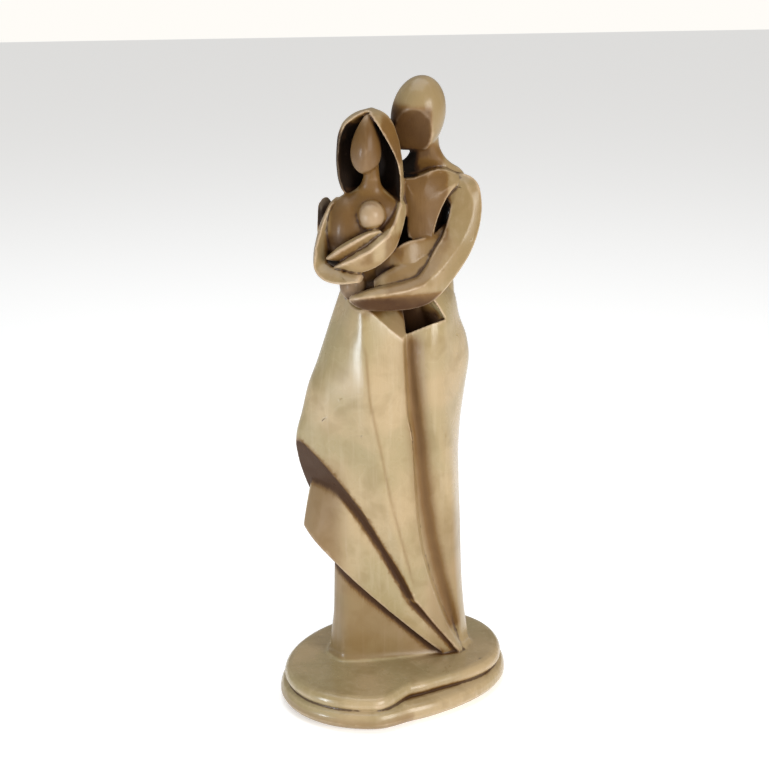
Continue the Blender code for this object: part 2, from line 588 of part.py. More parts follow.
def unite(name, forms):
    """Melts the forms into one skin, eases it and lightens it."""
    bpy.ops.object.select_all(action="DESELECT")
    for form in forms:
        form.select_set(True)
    bpy.context.view_layer.objects.active = forms[0]
    bpy.ops.object.join()
    made = bpy.context.active_object
    made.name = name
    made.data.name = name
    melt = made.modifiers.new("Melt", "REMESH")
    melt.mode = "VOXEL"
    melt.voxel_size = VOXEL
    bpy.ops.object.modifier_apply(modifier=melt.name)
    ease = made.modifiers.new("Ease", "SMOOTH")
    ease.factor = 0.5
    ease.iterations = 2
    bpy.ops.object.modifier_apply(modifier=ease.name)
    lighten = made.modifiers.new("Lighten", "DECIMATE")
    made.data.calc_loop_triangles()
    lighten.ratio = TRIANGLES / len(made.data.loop_triangles)
    bpy.ops.object.modifier_apply(modifier=lighten.name)
    return trim(made, (0, 0, 0), (0, 0, -1))


for stale in list(bpy.data.objects):
    bpy.data.objects.remove(stale, do_unlink=True)

couple = [make_underskirt(), make_middle_layer(), make_outer_layer(), make_his_legs()]
couple += make_his_torso() + make_his_head() + make_his_arms()
couple += make_her_torso() + make_her_arms() + make_her_head()

# The couple's pattern is brought to its real size and stood on the base.
share = (FIGURINE_HEIGHT - BASE_THICKNESS) / (PATTERN_TOP - PATTERN_FOOT)
stand = Matrix.Translation((0, 0, BASE_THICKNESS)) @ Matrix.Scale(share, 4)
stand = stand @ Matrix.Translation((-PATTERN_MIDDLE[0], -PATTERN_MIDDLE[1], -PATTERN_FOOT))
for form in couple:
    form.data.transform(stand)
figurine = unite("couple_figurine", make_base() + couple)

# Its front is turned to -Y, and the middle of its overall box stands over the origin.
figurine.data.transform(Matrix.Rotation(math.radians(-FRONT_TURN_DEG), 4, "Z"))
points = np.array([v.co for v in figurine.data.vertices])
low, high = points.min(axis=0), points.max(axis=0)
figurine.data.transform(Matrix.Translation((-(low[0] + high[0]) / 2, -(low[1] + high[1]) / 2, 0)))
figurine.data.update()

resin = bpy.data.materials.new("varnished resin")
resin.use_nodes = True
shader = resin.node_tree.nodes["Principled BSDF"]
shader.inputs["Base Color"].default_value = COLOUR
shader.inputs["Roughness"].default_value = 0.35
figurine.data.materials.clear()
figurine.data.materials.append(resin)

collection = bpy.data.collections.new("couple figurine")
bpy.context.scene.collection.children.link(collection)
for holder in list(figurine.users_collection):
    holder.objects.unlink(figurine)
collection.objects.link(figurine)
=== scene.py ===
"""Looks of the cast couple figurine: one fine skin over its CAD solid, in antiqued, varnished resin and
painted shade.

The forms are worked out as in the CAD source, on the couple's master pattern in millimetres (x to the
couple's left, y to their back, z up), only finer, and melted into one skin.
"""

import math

import bmesh
import bpy
import numpy as np
from mathutils import Matrix, Vector
from mathutils.bvhtree import BVHTree


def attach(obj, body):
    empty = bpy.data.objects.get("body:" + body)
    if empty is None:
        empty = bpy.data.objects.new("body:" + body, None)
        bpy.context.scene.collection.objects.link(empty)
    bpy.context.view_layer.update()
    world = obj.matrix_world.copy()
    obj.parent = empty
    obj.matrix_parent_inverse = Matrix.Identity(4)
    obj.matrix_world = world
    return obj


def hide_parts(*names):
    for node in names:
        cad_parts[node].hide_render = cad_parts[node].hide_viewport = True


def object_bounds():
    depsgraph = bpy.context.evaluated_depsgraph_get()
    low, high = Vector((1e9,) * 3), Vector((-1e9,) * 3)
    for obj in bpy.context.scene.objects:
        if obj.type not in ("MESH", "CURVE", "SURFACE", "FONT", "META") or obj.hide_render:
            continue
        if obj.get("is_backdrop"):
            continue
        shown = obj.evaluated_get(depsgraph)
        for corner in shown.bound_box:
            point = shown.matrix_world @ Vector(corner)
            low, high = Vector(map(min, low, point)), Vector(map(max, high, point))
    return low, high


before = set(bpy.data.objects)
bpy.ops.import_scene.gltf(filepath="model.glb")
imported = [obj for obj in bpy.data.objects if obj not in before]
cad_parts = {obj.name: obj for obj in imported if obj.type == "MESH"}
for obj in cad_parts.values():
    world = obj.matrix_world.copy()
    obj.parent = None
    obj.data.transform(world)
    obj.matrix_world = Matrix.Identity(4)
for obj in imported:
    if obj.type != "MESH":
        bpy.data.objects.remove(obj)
cad_low, cad_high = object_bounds()

# The base: a two-stepped oval plinth, cast in one with the couple. Its lower tier spreads wider, and
# the front right of both tiers is cut back.
FIGURINE_HEIGHT = 0.300
BASE_LENGTH = 0.121
BASE_WIDTH = 0.097
BASE_THICKNESS = 0.017
BASE_STEP_HEIGHT = 0.0105
BASE_TIER_INSET = 0.0022
BASE_EDGE_ROUND = 0.0035
BASE_AXIS_DEG = 38.4
UPPER_NOTCH = 0.215
LOWER_NOTCH = 0.09
NOTCH_AT_DEG = -98.0
NOTCH_FLAT_DEG = 12.0
NOTCH_STEP_DEG = 34.0
NOTCH_FADE_DEG = 55.0


def loft(name, rings):
    """One closed solid through rings of points, which all have the same number of points."""
    mesh = bmesh.new()
    loops = [[mesh.verts.new(p) for p in ring] for ring in rings]
    for low, high in zip(loops, loops[1:]):
        for k in range(len(low)):
            j = (k + 1) % len(low)
            mesh.faces.new((low[k], low[j], high[j], high[k]))
    mesh.faces.new(loops[0][::-1])
    mesh.faces.new(loops[-1])
    bmesh.ops.recalc_face_normals(mesh, faces=mesh.faces)
    data = bpy.data.meshes.new(name)
    mesh.to_mesh(data)
    mesh.free()
    made = bpy.data.objects.new(name, data)
    bpy.context.scene.collection.objects.link(made)
    return made


def tier(name, profile, notch, shrink):
    """One oval tier of the base. A profile row is the height and how far in from the widest line."""
    a, b = BASE_LENGTH / 2 - shrink, BASE_WIDTH / 2 - shrink
    turn = math.radians(BASE_AXIS_DEG)
    rings = []
    for z, inset in profile:
        ring = []
        for k in range(360):
            t = 2 * math.pi * k / 360
            away = (math.degrees(t) - NOTCH_AT_DEG + 180) % 360 - 180
            steep = max(-away - NOTCH_FLAT_DEG, 0) / (NOTCH_STEP_DEG - NOTCH_FLAT_DEG)
            reach = away / NOTCH_FADE_DEG if away > 0 else steep
            dip = notch * math.cos(math.pi / 2 * min(reach, 1)) ** 2
            u = (a - inset) * (1 - dip) * math.cos(t)
            v = (b - inset) * (1 - dip) * math.sin(t)
            x = u * math.cos(turn) - v * math.sin(turn)
            y = u * math.sin(turn) + v * math.cos(turn)
            ring.append((x, y, z))
        rings.append(ring)
    return loft(name, rings)


def make_base():
    top, step = BASE_THICKNESS, BASE_STEP_HEIGHT
    r = BASE_EDGE_ROUND
    lower = tier(
        "lower tier",
        [(0, 1.43 * r), (0.09 * step, 0.97 * r), (0.23 * step, 0.37 * r), (0.43 * step, 0),
         (0.67 * step, 0.09 * r), (0.85 * step, 0.4 * r), (0.94 * step, 0.91 * r), (step, 1.86 * r)],
        LOWER_NOTCH,
        0,
    )
    r = min(r, 0.54 * (top - step))
    upper = tier(
        "upper tier",
        [(0.4 * step, r), (step - 0.37 * r, 0.86 * r), (step, 0.46 * r), (step + 0.46 * r, 0.06 * r),
         (top - r, 0), (top - 0.5 * r, 0.2 * r), (top - 0.15 * r, 0.57 * r), (top, 1.2 * r)],
        UPPER_NOTCH,
        BASE_TIER_INSET,
    )
    return [lower, upper]


base = make_base()

# Her dress: an underskirt down to the base and two layers over it, each cast to a long diagonal hem
# that faces down to her right. Carved folds, varnished like the rest. Each hem's plane is given by a
# point on it and the way it faces.
PATTERN_FOOT = 17.0
PATTERN_TOP = 299.6
PATTERN_MIDDLE = (0.5, -1.7)
HEM_1_AT = (-0.9, -17.8, 72.9)
HEM_1_FACING = (-0.68, -0.62, -0.41)
HEM_1_LOW_AT = (13, -13.4, 45.9)
HEM_1_LOW_FACING = (-0.49, -0.67, -0.555)
HEM_2_AT = (-12.4, 0, 53.5)
HEM_2_FACING = (-0.696, 0.0, -0.718)
WAIST_CUTS = [
    ((-22, -14.5, 198), (-0.331, -0.54, 0.772)),
    ((-4.3, -19, 191), (0.634, -0.444, 0.634)),
]


def unit(v):
    return v / np.maximum(np.linalg.norm(v, axis=-1, keepdims=True), 1e-9)


def along(line, heights):
    """Where a drawn line of the carving, rows of z, x, y, stands at each height, without overshoot."""
    rows = np.array(line, float)
    z, p = rows[:, 0], rows[:, 1:]
    run = np.diff(z)[:, None]
    rise = np.diff(p, axis=0) / run
    slopes = np.zeros_like(p)
    slopes[0], slopes[-1] = rise[0], rise[-1]
    if len(z) > 2:
        product = rise[:-1] * rise[1:]
        total = rise[:-1] + rise[1:]
        slopes[1:-1] = np.where(product > 0, 2 * product / np.where(product > 0, total, 1), 0)
    h = np.clip(heights, z[0], z[-1])
    i = np.clip(np.searchsorted(z, h, side="right") - 1, 0, len(z) - 2)
    w = run[i]
    u = ((h - z[i])[:, None]) / w
    return (
        (2 * u**3 - 3 * u**2 + 1) * p[i]
        + (u**3 - 2 * u**2 + u) * w * slopes[i]
        + (3 * u**2 - 2 * u**3) * p[i + 1]
        + (u**3 - u**2) * w * slopes[i + 1]
    )


def carved(name, low, high, lines, rounds, levels=200, per=16, flare=0.0):
    """A form whose level sections run through the drawn lines, in order around it.

    The rounds say how round the section is at each line: 0 is an arris, 1 is a smooth curve. The flare
    is how far the lowest part spreads into a small fillet on the base."""
    heights = np.linspace(low, high, levels)
    keys = np.stack([along(line, heights) for line in lines], axis=1)
    rounding = np.array(rounds)[None, :, None]
    tangents = rounding * 0.5 * (np.roll(keys, -1, axis=1) - np.roll(keys, 1, axis=1))
    rings = []
    for level, z in enumerate(heights):
        ring = []
        middle = keys[level].mean(axis=0)
        spread = flare * max(0.0, 1 - (z - PATTERN_FOOT) / 4) ** 2
        for k in range(len(lines)):
            n = (k + 1) % len(lines)
            for u in np.arange(per) / per:
                point = (
                    (2 * u**3 - 3 * u**2 + 1) * keys[level, k]
                    + (u**3 - 2 * u**2 + u) * tangents[level, k]
                    + (3 * u**2 - 2 * u**3) * keys[level, n]
                    + (u**3 - u**2) * tangents[level, n]
                )
                point = point + unit(point - middle) * spread
                ring.append((point[0], point[1], z))
        rings.append(ring)
    return loft(name, rings)


def trim(made, point, normal):
    """Cuts away what lies beyond a plane and closes the cut."""
    mesh = bmesh.new()
    mesh.from_mesh(made.data)
    cut = bmesh.ops.bisect_plane(
        mesh,
        geom=mesh.verts[:] + mesh.edges[:] + mesh.faces[:],
        dist=1e-5,
        plane_co=point,
        plane_no=normal,
        clear_outer=True,
    )
    edges = [e for e in cut["geom_cut"] if isinstance(e, bmesh.types.BMEdge)]
    bmesh.ops.edgeloop_fill(mesh, edges=edges)
    bmesh.ops.recalc_face_normals(mesh, faces=mesh.faces)
    mesh.to_mesh(made.data)
    mesh.free()
    return made


def make_underskirt():
    return carved(
        "underskirt", 13, 86,
        [
            [(12, -31.5, -1), (24, -31, -1.5), (41, -29.3, -1), (60, -28.9, -1), (86, -28, -1)],
            [(12, -29, -8.6), (40, -27.4, -8.2), (86, -26.6, -7.4)],
            [(12, -21.5, -13.8), (30, -20.5, -13.1), (60, -19, -12.1), (86, -18, -11)],
            [(12, 3, -9.6), (30, 3, -9), (60, 2, -8), (86, 0, -7)],
            [(12, 26, -4.3), (30, 25, -3), (60, 20, -2), (86, 15, 0)],
            [(12, 35.7, 2.6), (30, 33, 4), (60, 30, 6), (86, 28, 8)],
            [(12, 18, 22), (86, 15, 20)],
            [(12, -15, 23), (86, -14, 20)],
            [(12, -28, 11), (86, -25, 10)],
        ],
        [1, 1, 1, 1, 1, 1, 1, 1, 1],
        flare=2.2,
    )


def make_middle_layer():
    made = carved(
        "middle layer", 8, 116,
        [
            [(8, -44, 1), (60, -45.5, 0), (80, -44.2, -1), (93, -42.4, 0), (105, -40.2, 1),
             (116, -38, 2)],
            [(8, -30, -9), (60, -34, -10.5), (80, -37, -8.8), (93, -35, -8.5), (105, -33, -7.5),
             (116, -31, -6)],
            [(8, 22, -5), (25, 18, -8.8), (45, 6, -13), (62, -4, -15.8), (80, -14, -16.8),
             (93, -20, -15.5), (105, -24, -13.5), (116, -27, -10)],
            [(8, 34, 1), (20, 31, -1.5), (30, 26, -3.5), (45, 20, -5), (62, 12, -7.5), (80, 5, -10),
             (93, 0, -11), (116, -4, -8)],
            [(8, 20, 14), (116, 0, 10)],
            [(8, -24, 16), (80, -28, 14), (116, -28, 12)],
            [(8, -40, 7), (80, -41, 6), (116, -36, 8)],
        ],
        [0.5, 0.6, 0.7, 0.6, 1, 1, 0.8],
    )
    return trim(made, HEM_2_AT, HEM_2_FACING)


def make_outer_layer():
    made = carved(
        "outer layer", 10, 203,
        [
            [(10, -25, 6), (50, -26, 6), (67, -27, 5), (80, -34, 3), (93, -41.5, 1), (107, -45, 0),
             (118, -46.4, -1), (125.6, -46.6, -1.5), (131.7, -46.3, -2), (143.8, -43.4, -2),
             (155.8, -40.6, -1), (167.7, -36.2, 0), (179.5, -32.3, 0), (191.6, -28.4, 0),
             (203, -24.5, 1)],
            [(10, -18, -6), (60, -20, -12), (80, -27, -14), (107, -37, -11), (125, -41.5, -9.5),
             (140, -39, -10.5), (156, -35.5, -11.5), (168, -31.5, -12), (180, -27.5, -12),
             (191, -24, -11.8), (203, -21, -10.5)],
            [(10, 24, -2), (20, 20, -6), (34, 9, -9.5), (45, 4, -12), (64, -2, -15.5), (82, -6, -18),
             (99, -10.5, -20.3), (116, -14, -21), (129, -15, -21.5), (143, -18, -21.5), (157, -20.5, -21),
             (176, -21, -19.6), (188, -20, -18.4), (203, -18.5, -16.5)],
            [(10, 38, -1), (20, 31, -5.2), (34, 18, -11), (45.5, 13, -14), (64, 7, -17.8), (82, 3, -20.6),
             (99, -1, -22.6), (116, -4.5, -24), (129, -5.5, -24.7), (143, -8.5, -25), (157, -11, -25),
             (176, -12.3, -23.6), (186, -13, -22.6), (203, -13.6, -19.5)],
            [(10, 40, 2), (20, 33.2, -2.8), (28, 29.3, -5), (38, 24.6, -7.2), (47, 21.5, -8.8),
             (61.5, 16.9, -12), (80, 12.8, -15.5), (97, 10.5, -17.7), (114, 9.5, -19), (134, 8.6, -19.7),
             (148, 6, -20.5), (169, 4.8, -19.5), (179, 4.3, -18.8), (190, 4.2, -17.5), (203, 3.5, -14)],
            [(10, 41, 6), (20, 34, 1.5), (28, 30.5, 0), (47, 23, -4.5), (80, 14, -11), (114, 10.5, -14),
             (148, 7, -14.5), (169, 6, -13.5), (184, 5.5, -12), (203, 5, -8)],
            [(10, 30, 16), (60, 14, 18), (120, 6, 20), (180, 2, 14), (203, -1, 8)],
            [(10, 0, 25), (60, -5, 26.5), (120, -11, 28.5), (150, -12, 28), (180, -10, 22),
             (196, -9.5, 12), (203, -9.5, 7)],
            [(10, -20, 17), (67, -23, 18), (93, -33, 17), (120, -38, 15), (150, -34, 16), (180, -26, 14),
             (196, -20.5, 8), (203, -18, 5)],
        ],
        [1, 0.9, 0.7, 0.45, 0.1, 0.2, 1, 1, 1],
        levels=300,
    )
    for point, facing in WAIST_CUTS:
        trim(made, point, facing)
    trim(made, HEM_1_AT, HEM_1_FACING)
    return trim(made, HEM_1_LOW_AT, HEM_1_LOW_FACING)


couple = [make_underskirt(), make_middle_layer(), make_outer_layer()]

# His hips and legs: one block beside her dress, with a soft groove and a long crest down its front and
# a deep recess under his forearm. Carved in the master pattern and cast in one with her dress.
def hollow(made, cutter):
    """Takes the cutter's space out of a form."""
    cut = made.modifiers.new("Hollow", "BOOLEAN")
    cut.object = cutter
    cut.solver = "EXACT"
    bpy.context.view_layer.objects.active = made
    bpy.ops.object.modifier_apply(modifier=cut.name)
    bpy.data.objects.remove(cutter)
    return made


def make_his_legs():
    made = carved(
        "his legs", 13, 206,
        [
            [(13, 36, 2), (20, 33, 0), (28, 29.3, -1.5), (38, 25, -3.5), (47, 22, -5.2),
             (61.5, 17.5, -8.2), (80, 13.5, -11.5), (97, 11, -13.7), (114, 10, -15), (134, 9, -15.7),
             (148, 6.5, -16.5), (169, 5, -15.8), (180, 4, -14.8), (204, 2, -12)],
            [(13, 36.5, 3), (24, 32, 0), (42, 27.6, -2.6), (59, 23.4, -5.4), (78, 19.2, -8.7),
             (100, 15.6, -11.6), (117, 13.4, -13.2), (131, 12.2, -13.9), (152, 9.4, -15),
             (171, 8.2, -15.2), (182, 8, -14.8), (204, 8, -12.5)],
            [(13, 37, 4), (23, 34.4, 0.5), (38, 32.3, -2), (55, 30.5, -4.5), (77, 28.6, -7.5),
             (99, 27.3, -10.5), (116, 25, -13), (136, 21, -16), (159, 17, -18), (175, 16.8, -18),
             (184, 17, -17), (194, 17, -15), (204, 16, -12)],
            [(13, 38, 7), (60, 33, 2), (100, 31, -2), (118, 29.5, -5), (136, 27.5, -8.5), (152, 25, -12),
             (175, 25, -12), (186, 25, -10.8), (196, 24, -8.5), (204, 22, -5)],
            [(13, 38.5, 12), (24, 37, 10), (40, 34.6, 10), (60, 33.3, 10), (86, 32.5, 10), (104, 31.7, 10),
             (120, 31.5, 10), (135, 32.2, 9), (153, 34.3, 8), (168, 36, 8), (177, 34.8, 8), (188, 31, 8),
             (198, 28.9, 9), (206, 24, 10)],
            [(13, 33, 24), (60, 27, 24), (120, 26, 25), (150, 28, 27), (168, 28, 28), (185, 25.5, 23.5),
             (197, 22.5, 18.5), (206, 18, 14)],
            [(13, 10, 30), (60, 8, 29), (120, 10, 30), (150, 12, 32), (168, 12, 33), (185, 11.5, 27),
             (197, 12, 21.5), (206, 12, 16)],
            [(13, -15, 23), (60, -14, 22), (120, -8, 24), (168, -8, 25), (197, -1, 17), (206, 4, 14)],
            [(13, -12, 5), (60, -10, 4), (120, -2, 2), (168, -2, 3), (197, -2, 5), (206, 3, 8)],
        ],
        [0.3, 1, 0.8, 1, 1, 1, 1, 1, 1],
        levels=300,
        flare=2.0,
    )
    # The deep recess between the forearm and the top of his thigh, whose floor falls away inwards.
    rings = []
    for top, plan in enumerate(
        ([(1, -30), (1, 1), (14, 1), (24, -11), (26, -30)],
         [(1, -30), (1, 1), (2, 1), (8, -11), (10, -30)])
    ):
        rings.append([(x, y, 215 if top else 183.8 + 0.4 * (x - 4.5) - 0.35 * (y + 14)) for x, y in plan])
    return hollow(made, loft("recess", rings))


couple += [make_his_legs()]

# His torso: chest plate, the hollow at the armpit and the folds over his waist, above the forearm.
# Cast in one with his legs below and her back in front of it.
def spline(stations, count):
    """Rows of numbers at even steps along a smooth curve through the stations' rows."""
    rows = np.array(stations, float)
    last = len(rows) - 1
    slopes = np.gradient(rows, axis=0)
    t = np.linspace(0, last, count)
    i = np.minimum(t.astype(int), last - 1)
    u = (t - i)[:, None]
    a, b = rows[i], rows[i + 1]
    ta, tb = slopes[i], slopes[i + 1]
    return (
        (2 * u**3 - 3 * u**2 + 1) * a
        + (u**3 - 2 * u**2 + u) * ta
        + (3 * u**2 - 2 * u**3) * b
        + (u**3 - u**2) * tb
    )


def limb(name, stations, crisp=0.0, back=1.0, edge=(0.0, 0.0), around=72, along=170):
    """A tapering form along a curve. A station is x, y, z, half width, half thickness, ridge.

    The width runs across the curve as seen from the front, and the ridge is where across it, from -1 to
    1, the form stands proudest. A crisp ridge of 1 is an arris, 0 is fully round. The back is how much
    thicker the far side is, and the edge how thick the near side still is at its two edges, at the
    curve's start and at its end."""
    rows = spline(stations, along)
    path, wide, thick, ridge = rows[:, :3], rows[:, 3:4], rows[:, 4:5], rows[:, 5:6]
    ahead = unit(np.gradient(path, axis=0))
    across = unit(np.cross(ahead, np.array((0.0, -1.0, 0.0))))
    out = unit(np.cross(across, ahead))
    out = np.where((out @ np.array((0.0, -1.0, 0.0)))[:, None] < 0, -out, out)
    rim = np.linspace(edge[0], edge[1], along)[:, None]
    rings = []
    for k in range(around):
        a = 2 * math.pi * k / around
        s, c = math.cos(a), math.sin(a)
        rise = np.full_like(ridge, abs(c))
        if c > 0:
            reach = 1 - np.abs(s - ridge) / np.where(s < ridge, 1 + ridge, 1 - ridge)
            rise = rim + (1 - rim) * ((1 - crisp) * rise + crisp * reach)
        rings.append(path + across * wide * s + out * thick * rise * (1 if c > 0 else -back))
    return loft(name, np.swapaxes(np.array(rings), 0, 1))


def column(name, stations, square=2.3, around=144, along=150):
    """An upright form. A station is z, centre x, centre y, half width, half depth, turn in degrees."""
    rows = spline(stations, along)
    rings = []
    for z, x, y, a, b, turn in rows:
        t = np.linspace(0, 2 * math.pi, around, endpoint=False)
        u = a * np.sign(np.cos(t)) * np.abs(np.cos(t)) ** (2 / square)
        v = b * np.sign(np.sin(t)) * np.abs(np.sin(t)) ** (2 / square)
        r = math.radians(turn)
        ring = np.stack(
            [x + u * math.cos(r) - v * math.sin(r), y + u * math.sin(r) + v * math.cos(r), 0 * t + z],
            axis=1,
        )
        rings.append(ring)
    return loft(name, rings)


def slab(name, outline, middle, back, rounds=10):
    """A plate with a smoothly swelling front: its outline and the middle of its front are points."""
    edge = np.array(outline, float)
    hub = np.array(middle, float)
    rings = [np.column_stack([edge[:, 0], np.full(len(edge), back), edge[:, 2]])]
    for k in range(rounds):
        t = 1 - k / rounds
        ring = hub + (edge - hub) * t
        ring[:, 1] = hub[1] + (edge[:, 1] - hub[1]) * t * t
        rings.append(ring)
    return loft(name, rings)


def make_his_torso():
    body = column(
        "his torso",
        [(176, 13, 12, 15, 13, 0), (198, 13.3, 10.5, 15.3, 11.8, 0), (210, 10.5, 11, 17, 11, 0),
         (222, 10.5, 12, 16, 10, 0), (230, 11.5, 14, 14, 9, 0), (238, 11.5, 14.5, 15, 8.5, 0),
         (246, 12, 14.8, 20, 8.2, 0), (250, 12.5, 15, 21.5, 7.2, 0), (253.5, 13.5, 15, 19.5, 6.6, 0),
         (256.5, 14, 14.6, 16.5, 6.2, 0), (259, 14.4, 13.8, 12.2, 6, 0), (262, 14.8, 12.6, 8.8, 6.2, 0),
         (266.6, 14.6, 11.6, 6.6, 6.3, 0), (272, 14, 11, 6.5, 6.3, 0)],
        square=2.2,
    )
    chest = slab(
        "his chest",
        [(4.6, -3, 254.1), (9.2, -2.5, 254.6), (13, -1.2, 255.8), (16.5, 0, 257.2), (20, 2.4, 257.8),
         (24, 4.6, 257.2), (28, 6.4, 255.4), (32, 7, 253), (30, 4.4, 251.2), (27, 1.6, 248.6),
         (24.4, -0.6, 245.4), (22, -2, 241), (20.2, -3, 236.6), (19, -3.8, 232.6), (18.2, -4.6, 229),
         (15, -5.6, 227.4), (11, -6.4, 226.8), (6.6, -6, 227.4), (6, -5, 231), (5.9, -4.2, 236),
         (5.5, -3.6, 241), (5, -3.2, 247)],
        (11, -5.2, 243),
        14,
    )
    upper_fold = limb(
        "upper fold",
        [(25.1, 5, 231.5, 1.5, 2.5, -0.4), (21.8, 1, 228.2, 2.4, 2.8, -0.5),
         (19.5, -1.5, 225.5, 3.3, 2.8, -0.7), (15.7, -4.7, 224.1, 4, 2.8, -0.8),
         (11.7, -7.7, 222.8, 4.8, 2.9, -0.85), (7.4, -10, 221.4, 5.6, 3, -0.85),
         (2.8, -11, 218.4, 6, 3, -0.85), (-3, -9.5, 214.5, 6, 3, -0.8), (-8, -6, 211, 5, 3, -0.7)],
        crisp=0.45,
        back=2.0,
        edge=(0.5, 0.5),
    )
    belly = limb(
        "belly",
        [(24, -1, 223.5, 1.5, 2.4, -0.3), (20.6, -4.5, 219.8, 3.4, 3.4, -0.4),
         (16.6, -8, 216.6, 4.4, 4, -0.5), (9.6, -10.5, 214.8, 4.6, 4.6, -0.6),
         (5.1, -13, 212.6, 5.2, 5, -0.6), (0.5, -15, 210.7, 5.2, 5, -0.6),
         (-4.1, -16, 208.9, 4.6, 5, -0.6), (-8.2, -15, 207.2, 3, 4, -0.4)],
        crisp=0.5,
    )
    return [body, chest, upper_fold, belly]


couple += make_his_torso()

# His head, a smooth egg with a flattened face and chin, and his two arms round her. They are cast in
# one with the torsos that they lie against.
HIS_HEAD_AT = (10.9, 9.2, 281.2)


def egg(name, centre, radii, turn=(0, 0, 0), taper=0.0):
    """An ellipsoid, narrower at its lower end by the share taper, or at its upper end if negative."""
    bpy.ops.mesh.primitive_uv_sphere_add(segments=112, ring_count=80, radius=1)
    made = bpy.context.active_object
    made.name = name
    for vertex in made.data.vertices:
        near = 0.5 - vertex.co.z / 2 if taper > 0 else 0.5 + vertex.co.z / 2
        narrow = 1 - abs(taper) * max(near, 0) ** 1.5
        vertex.co.x *= radii[0] * narrow
        vertex.co.y *= radii[1] * narrow
        vertex.co.z *= radii[2]
    made.rotation_euler = [math.radians(a) for a in turn]
    made.location = centre
    bpy.context.view_layer.update()
    made.data.transform(made.matrix_world)
    made.location = (0, 0, 0)
    made.rotation_euler = (0, 0, 0)
    return made


def pare(made, point, normal, keep=0.0):
    """Flattens what stands proud of a plane, keeping a share of its swell."""
    for vertex in made.data.vertices:
        over = sum((vertex.co[i] - point[i]) * normal[i] for i in range(3))
        if over > 0:
            for i in range(3):
                vertex.co[i] -= normal[i] * over * (1 - keep)
    return made


def make_his_head():
    skull = egg("his head", HIS_HEAD_AT, (12.8, 14, 18.6), (4, 11, 0), 0.1)
    pare(skull, (8.5, -3.4, 285), (-0.22, -0.87, -0.44), 0.15)
    pare(skull, (6, 4, 266.4), (0.02, -0.1, -0.99), 0.1)
    return [skull]


def make_his_arms():
    left = limb(
        "his left arm",
        [(27.5, 12, 252.4, 2.2, 3.5, 0.1), (30.8, 10.5, 250, 5.2, 5.5, -0.1),
         (32, 8, 246.4, 7.8, 6.2, -0.35), (33.2, 5.8, 240.4, 7.3, 6.2, -0.45),
         (31.9, 3, 232.5, 7.5, 6.2, -0.35), (29, -1, 224.8, 7.5, 6.2, -0.15),
         (24.5, -6, 218.1, 7.5, 6.5, 0), (19.3, -11, 211.2, 6.9, 6.8, 0.2),
         (13.7, -15.5, 206.3, 6.7, 6.6, 0.45), (6.4, -20, 204.5, 6.4, 6.5, 0.55),
         (-1.8, -23.5, 203.9, 5.7, 6, 0.55), (-9.5, -25.5, 203.4, 5.0, 5, 0.55),
         (-15.5, -25.5, 203.2, 3.4, 4, 0.5), (-19.8, -24.5, 203.6, 1.4, 2.4, 0.2)],
        crisp=0.65,
        back=1.7,
        edge=(0.75, 0.25),
        along=220,
    )
    right = limb(
        "his right arm",
        [(-4, 17, 247, 4, 4, 0), (-13, 20, 238, 6, 5.5, 0), (-21, 19, 231, 6.5, 5.5, 0),
         (-28, 13, 227, 5.5, 5, 0), (-33, 8.5, 227, 2.6, 3, 0), (-32.5, 6.5, 232.7, 3, 2.4, -0.3),
         (-31.8, 5.5, 237, 3.5, 2.2, -0.5), (-31.6, 5, 240.8, 3.3, 2, -0.6),
         (-31.8, 5, 242.9, 2.4, 1.6, -0.5), (-32.4, 5, 244.1, 1.2, 1, 0)],
        crisp=0.5,
    )
    return [left, right]


couple += make_his_head() + make_his_arms()

# Her torso and arms: two breasts, and the right arm folded under the left. Cast in one with his chest
# behind her, with narrow gaps where the arms stand clear.
LEFT_BREAST_AT = (-10.3, -12.4, 239.2)


def make_her_torso():
    body = column(
        "her torso",
        [(188, -10, 0, 14, 11, 0), (200, -13, -1, 11, 9, 0), (205, -15.3, -1, 9.2, 8.5, 0),
         (209, -14, -1, 11.2, 9, 0), (213, -15.6, -1, 14.6, 9.5, 0), (219, -16, -2, 16.8, 11.5, 0),
         (226, -15.2, -1.8, 17.4, 12.8, 0), (234, -12.8, -2, 16, 12, 0), (240.5, -12.5, -2.5, 16, 11.2, 0),
         (244.5, -12, -3, 14.5, 9, 0), (248.5, -11, -4, 8.5, 6, 0), (251.5, -10.6, -5, 5.2, 4.6, 0),
         (256, -10.2, -6.5, 3.7, 4.2, 0), (263, -10.5, -7, 3.4, 4, 0)],
        square=2.2,
    )
    waist = egg("her waist", (-19, -9.5, 206.5), (6, 7.5, 7))
    right_breast = egg("right breast", (-20.5, -4, 232.5), (10.8, 11.3, 16), (0, 10, 0))
    left_breast = egg("left breast", LEFT_BREAST_AT, (6.2, 6.8, 6.9))
    return [body, waist, right_breast, left_breast]


